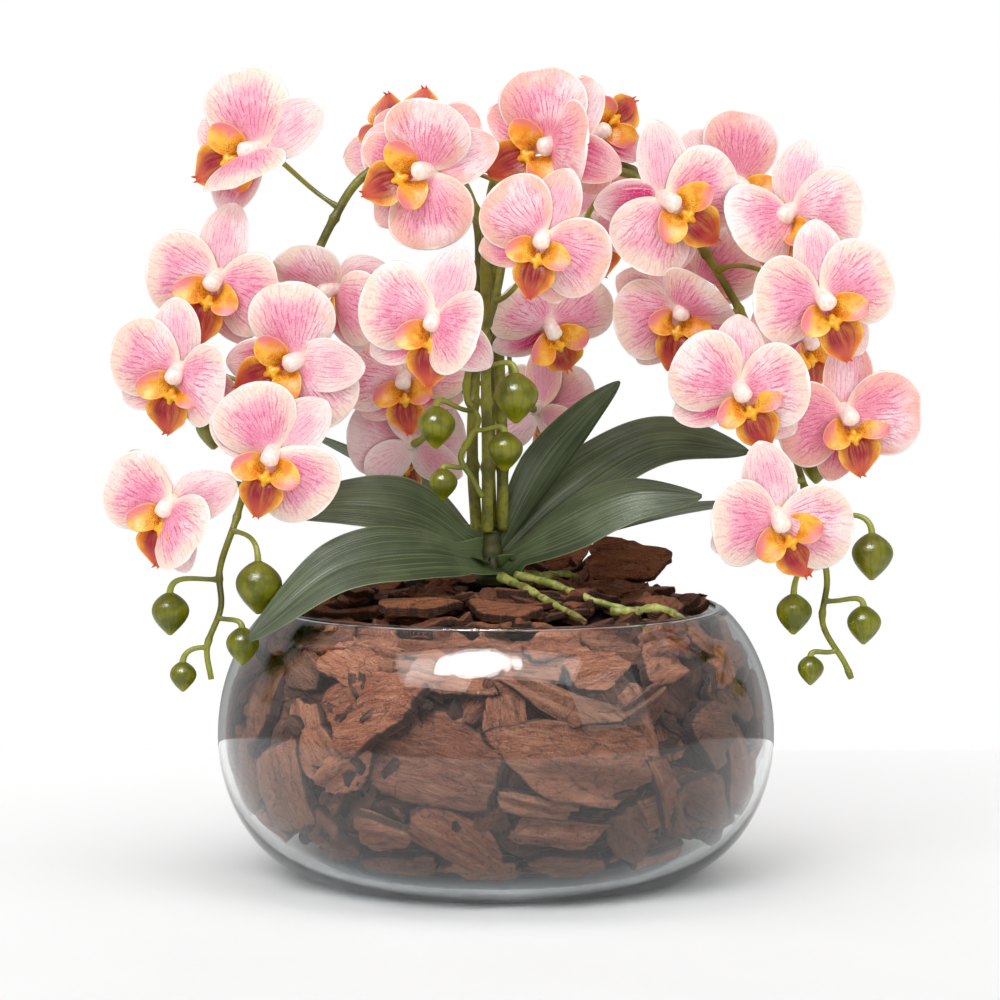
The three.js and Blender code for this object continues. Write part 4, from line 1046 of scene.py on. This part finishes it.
frontChips = [  # angle round from the front, height, length, width, twist, how far behind the glass
    (-13, 67, 68, 48, 10, 0.5), (20, 65, 84, 40, 8, 0.5), (52, 73, 31, 31, 10, 0),
    (-29, 89, 56, 36, -15, 1.5), (-51, 47, 48, 30, 82, 1),
    (-62, 84, 36, 28, 70, 1), (-9, 31, 52, 27, 40, 1), (50, 39, 42, 36, 30, 0.5),
    (-41, 27, 32, 28, 20, 3), (-25, 31, 28, 16, 0, 1.5), (14, 33, 44, 17, 5, 1.5), (17, 17, 38, 13, 10, 1),
    (31, 28, 33, 22, 50, 3), (13, 91, 46, 15, 30, 0), (33, 90, 26, 9, -30, 0.5), (42, 106, 32, 22, -10, 2),
    (65, 103, 36, 20, -30, 2), (-36, 107, 32, 26, 20, 5), (-22, 111, 34, 18, 0, 6), (-10, 107, 34, 24, 10, 4),
    (-33, 61, 34, 22, -35, 4), (2, 86, 24, 19, 80, 4), (8, 47, 40, 11, 12, 1), (38, 51, 38, 14, 58, 1),
    (19, 51, 24, 16, 0, 6), (-44, 71, 38, 26, 55, 5), (-66, 54, 38, 26, 80, 2), (66, 54, 40, 28, 78, 1.5),
    (80, 77, 38, 26, -60, 1), (7, 107, 40, 26, 0, 5), (24, 106, 36, 22, -8, 4), (-3, 15, 34, 11, 5, 1.5),
    (-24, 14, 36, 13, -8, 1), (46, 14, 34, 13, -12, 1), (-46, 14, 30, 14, -20, 1.5), (68, 22, 34, 18, 25, 1),
    (-66, 24, 34, 20, -30, 1.5), (-78, 66, 44, 30, 60, 1), (64, 88, 34, 22, 50, 4), (-52, 104, 34, 22, 30, 4),
    (33, 75, 40, 26, 70, 6), (-2, 55, 40, 26, -60, 6), (36, 37, 34, 20, -20, 6), (-52, 66, 34, 22, -50, 6),
    (-64, 113, 32, 20, 12, 1), (-47, 115, 34, 18, -8, 3), (-31, 116, 36, 18, 6, 4), (-15, 116, 34, 16, -4, 3),
    (0, 115, 38, 18, 5, 4), (16, 116, 34, 16, -6, 3), (31, 115, 34, 18, 8, 4), (46, 114, 34, 20, -10, 2),
    (62, 113, 32, 20, 5, 2), (0, 10, 30, 9, 0, 1), (-12, 9, 28, 8, 4, 2), (28, 9, 30, 9, -4, 1.5),
    (-33, 9, 28, 9, 0, 2), (12, 9, 26, 8, 3, 3),
]


def againstGlass(angle, high, long, wide, twist, depth, lean, rows, around, seed, shade):
    # A chip at an angle and height, bent most of the way to the wall's own curve, then slid back until it
    # is inside the glass, and by depth more.
    a, b = math.radians(angle - 90), math.radians(twist)
    r = float(wallRadius(high))
    slope = float(wallRadius(high + 3) - wallRadius(high - 3)) / 6
    normal = unit(np.array([math.cos(a), math.sin(a), -slope]))
    part = makeChip(long, wide, 4.0 + 0.08 * wide, rows, around, seed, shade)
    x, y, z = part["verts"].T
    level, up = x * math.cos(b) - y * math.sin(b), x * math.sin(b) + y * math.cos(b)
    z = z - 0.75 * (level ** 2 / 2 / r + up ** 2 / 120)
    part["verts"] = np.stack([x, y, z], -1)
    place = np.array([r * math.cos(a), r * math.sin(a), high])
    part = moved(part, axes(unit(normal + lean), twist), place)
    x, y, z = part["verts"].T
    out = np.percentile(np.hypot(x, y) - wallRadius(z), 90)
    part["verts"] = part["verts"] - normal * (max(out, -2.0) + bark["gap"] + depth)
    return heldIn(part)


def lining():
    # The chips that show through the glass. The front ones are set one by one; the rest stand in courses
    # all round, with a second layer behind them and broken bits between.
    parts = []
    for i, (angle, high, long, wide, twist, depth) in enumerate(frontChips):
        lean, shade = rng.normal(0, 0.09, 3), rng.uniform(0.42, 1.0)
        high = high * bowl["height"] / drawnFor
        parts.append(againstGlass(angle, high, long, wide, -twist, depth, lean, 17, 40, 60 + i, shade))
    seed = 200
    for layer in (0, 1):
        for high, count, long in bark["courses"]:
            start = rng.uniform(0, 360)
            for i in range(count):
                seed += 1
                angle = (start + (i + rng.uniform(-0.2, 0.2)) * 360 / count + 180) % 360 - 180
                if layer == 0 and abs(angle) < 74:
                    continue
                size, depth = long * rng.uniform(0.75, 1.35), rng.uniform(0, 3) + 9 * layer
                # The second layer, behind the first, is set 0.4 darker: painted shade.
                shade = rng.uniform(0.5, 1.0) - 0.4 * layer
                at, wide = high + rng.uniform(-5, 5), size * rng.uniform(0.5, 0.75)
                twist, lean = rng.uniform(-60, 60), rng.normal(0, 0.12 + 0.1 * layer, 3)
                parts.append(againstGlass(angle, at, size, wide, twist, depth, lean,
                                          13 - 4 * layer, 28 - 10 * layer, seed, shade))
    for i in range(bark["bits"]):
        size = rng.uniform(8, 22)
        angle, at, wide = rng.uniform(-180, 180), rng.uniform(9, 117), size * rng.uniform(0.25, 0.6)
        twist, depth, lean = rng.uniform(-60, 60), rng.uniform(4, 11), rng.normal(0, 0.35, 3)
        # The broken bits between the chips get dark tones: painted shade in the gaps.
        shade = rng.uniform(0.1, 0.6)
        parts.append(againstGlass(angle, at, size, wide, twist, depth, lean, 5, 9, seed + 1 + i, shade))
    return parts


def core():
    # The heart of the heap: the bowl's inside drawn in, closed over by the heap's top, lumpy all over.
    z = np.linspace(bowl["base"] + 1.5, rimTop - 9, 40)
    r = np.interp(z, innerZ, innerR) - 19
    top = np.linspace(1, 0.03, 26)[1:]
    profileR, profileZ = np.r_[r, r[-1] * top], np.r_[z, np.full(25, -1.0)]
    turn = ring(90)
    x, y = profileR[:, None] * np.cos(turn), profileR[:, None] * np.sin(turn)
    lump = 1.6 * np.sin(x / 7 + 1) * np.cos(y / 6) + 1.1 * np.sin(x / 3.1 + y / 4.3)
    high = np.where(profileZ[:, None] < 0, bedTop(x, y) - 3.2 + lump, profileZ[:, None])
    # Its shade of 0.12 makes it very dark: painted shade where it shows between the chips.
    return skin(spread(x, y, high), spread(np.hypot(x, y) * turn, high + profileR[:, None]), 0, 0.12)


def heap():
    # Loose chips over the top, flatter at the front and standing on edge at the back.
    parts = []
    for i in range(bark["loose"]):
        a, r = rng.uniform(0, 2 * np.pi), 96 * math.sqrt(rng.uniform(0.01, 1))
        x, y = r * math.cos(a), r * math.sin(a)
        if math.hypot(x - foot[0], y - foot[1]) < bark["clearOfCrown"]:
            continue
        size = rng.uniform(13, 34)
        back = max(0.0, y / 100)
        lean = rng.normal(0, 0.2 + 0.45 * back, 3) * [1, 1, 0.4]
        normal = unit(np.array([0, 0, 1.0]) + lean - [0, 0.8 * back, 0])
        wide, thick, shade = size * rng.uniform(0.5, 0.8), rng.uniform(2.5, 5), rng.uniform(0.5, 1.0)
        part = makeChip(size, wide, thick, 9, 20, 1700 + i, shade)
        centre = np.array([x, y, float(bedTop(x, y)) - 0.5 + 3 * back])
        parts.append(heldIn(moved(part, axes(normal, rng.uniform(0, 180)), centre)))
    return parts


build("bark_lining", lining(), [barkSkin], ["bark_bed"])
build("bark_heap", [core()] + heap(), [topSkin], ["bark_bed"])

# The loose chips on top lie where the CAD has them: length, width, heading and tilt.
chips = [
    (46, 26, -15, 55), (44, 28, 20, 50), (48, 26, -12, 40), (40, 24, 50, 25),
    (36, 22, 100, 8), (42, 24, 12, 6), (34, 20, -10, 10), (38, 22, 75, 12),
]
for i, (long, wide, heading, tilt) in enumerate(chips):
    part = makeChip(long * 0.94, wide * 0.94, 4.6, 17, 40, 40 + i, 0.9)
    low, high = (np.array(c) * 1000 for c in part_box(f"bark_chip_{i + 1}"))
    part = moved(part, aboutZ(heading) @ aboutX(tilt), (low + high) / 2)
    build(f"top_chip_{i + 1}", [part], [topSkin], [f"bark_chip_{i + 1}"])
print("bark built")


# Floor, light and camera

def floorFinish():
    n = Nodes("floor", 0.9, Specular_IOR_Level=0.1)
    here = n.place()
    grey = n.blend(n.ramp(n.noise(here, 0.01, 2.0), 0.3, 0.7), tone("ebecec"), tone("e9eaea"))
    away = n.put("SeparateXYZ", {0: here}).outputs[1]
    # The floor is painted greyer in a band around the bowl's front and whiter further back: painted light and
    # shade on a plain pale floor.
    near = n.times(n.ramp(away, -450.0, 300.0, 1.0, 0.0), n.ramp(away, -1800.0, -900.0))
    return n.done(n.blend(near, tone("fcfcfc"), grey))


mesh = bpy.data.meshes.new("floor")
mesh.from_pydata([(-3, -3.2, 0), (3, -3.2, 0), (3, 0.4, 0), (-3, 0.4, 0)], [], [(0, 1, 2, 3)])
mesh.materials.append(floorFinish())
floor = bpy.data.objects.new("floor", mesh)
scene.collection.objects.link(floor)

world = bpy.data.worlds.new("studio")
scene.world = world
world.use_nodes = True
tree = world.node_tree
ray = tree.nodes.new("ShaderNodeLightPath")
sky = tree.nodes["Background"]
sky.inputs[0].default_value = (1, 1, 1, 1)
lit = tree.nodes.new("ShaderNodeMapRange")  # white to the camera, a little less as light
lit.inputs[3].default_value, lit.inputs[4].default_value = 0.95, 1.0
tree.links.new(ray.outputs["Is Camera Ray"], lit.inputs[0])
mirrored = tree.nodes.new("ShaderNodeMapRange")  # and dim in reflections, as a room is
mirrored.inputs[4].default_value = 0.42
tree.links.new(lit.outputs[0], mirrored.inputs[3])
tree.links.new(ray.outputs["Is Glossy Ray"], mirrored.inputs[0])
tree.links.new(mirrored.outputs[0], sky.inputs[1])


def lamp(name, place, target, width, height, power, mirrored=True, shape="RECTANGLE"):
    # A lamp either lights the surfaces or shows only as their highlight.
    data = bpy.data.lights.new(name, "AREA")
    data.shape, data.size, data.size_y, data.energy = shape, width, height, power
    thing = bpy.data.objects.new(name, data)
    scene.collection.objects.link(thing)
    aim = unit(np.array(target, float) - np.array(place, float))
    side = unit(np.cross(aim, [0, 0, 1.0] if abs(aim[2]) < 0.95 else [0, 1.0, 0]))
    up = np.cross(side, aim)
    thing.matrix_world = Matrix([[side[k], up[k], -aim[k], place[k]] for k in range(3)] + [[0, 0, 0, 1]])
    thing.visible_camera, thing.visible_glossy, thing.visible_diffuse = False, mirrored, not mirrored


lamp("key", (-0.7, -1.3, 1.5), (0, 0, 0.2), 0.9, 0.7, 9.0, False)
lamp("fill", (1.2, -1.0, 0.8), (0, 0, 0.2), 0.9, 0.9, 3.0, False)
windows = [  # across, up the slanting window, width, height, power: an uneven bright patch
    (-0.32, 0.35, 0.66, 0.86, 23), (-0.2, 0.95, 0.62, 0.6, 14), (-0.54, -0.08, 0.3, 0.5, 6),
    (-0.08, -0.12, 0.34, 0.66, 8), (-0.3, -0.36, 0.2, 0.36, 2.5), (-0.5, 1.16, 0.26, 0.3, 2.5),
    (0.14, 0.5, 0.16, 0.5, 2.5), (0.22, -0.2, 0.12, 0.26, 1), (-0.76, 0.3, 0.14, 0.5, 2),
    (-0.62, 0.75, 0.2, 0.24, 1.5),
]
for i, (x, z, wide, high, power) in enumerate(windows):
    place = (x, -1.1 - 0.5 * z, 1.7 + 0.8 * z)
    lamp(f"window_{i + 1}", place, (0, 0, 0.1), wide, high, power, shape="ELLIPSE")
lamp("window_haze", (-0.1, -1.18, 1.82), (0, 0, 0.1), 2.6, 0.8, 14)

view = {"place": (0.0019, -1.5, 0.273), "down": 3.74, "lens": 115.9, "sensor": 36}
camera = bpy.data.objects.new("camera", bpy.data.cameras.new("camera"))
scene.collection.objects.link(camera)
camera.location = view["place"]
camera.rotation_euler = (math.radians(90 - view["down"]), 0, 0)
camera.data.lens, camera.data.sensor_width = view["lens"], view["sensor"]
scene.camera = camera
scene.view_settings.view_transform = "Standard"

print("scene ready")
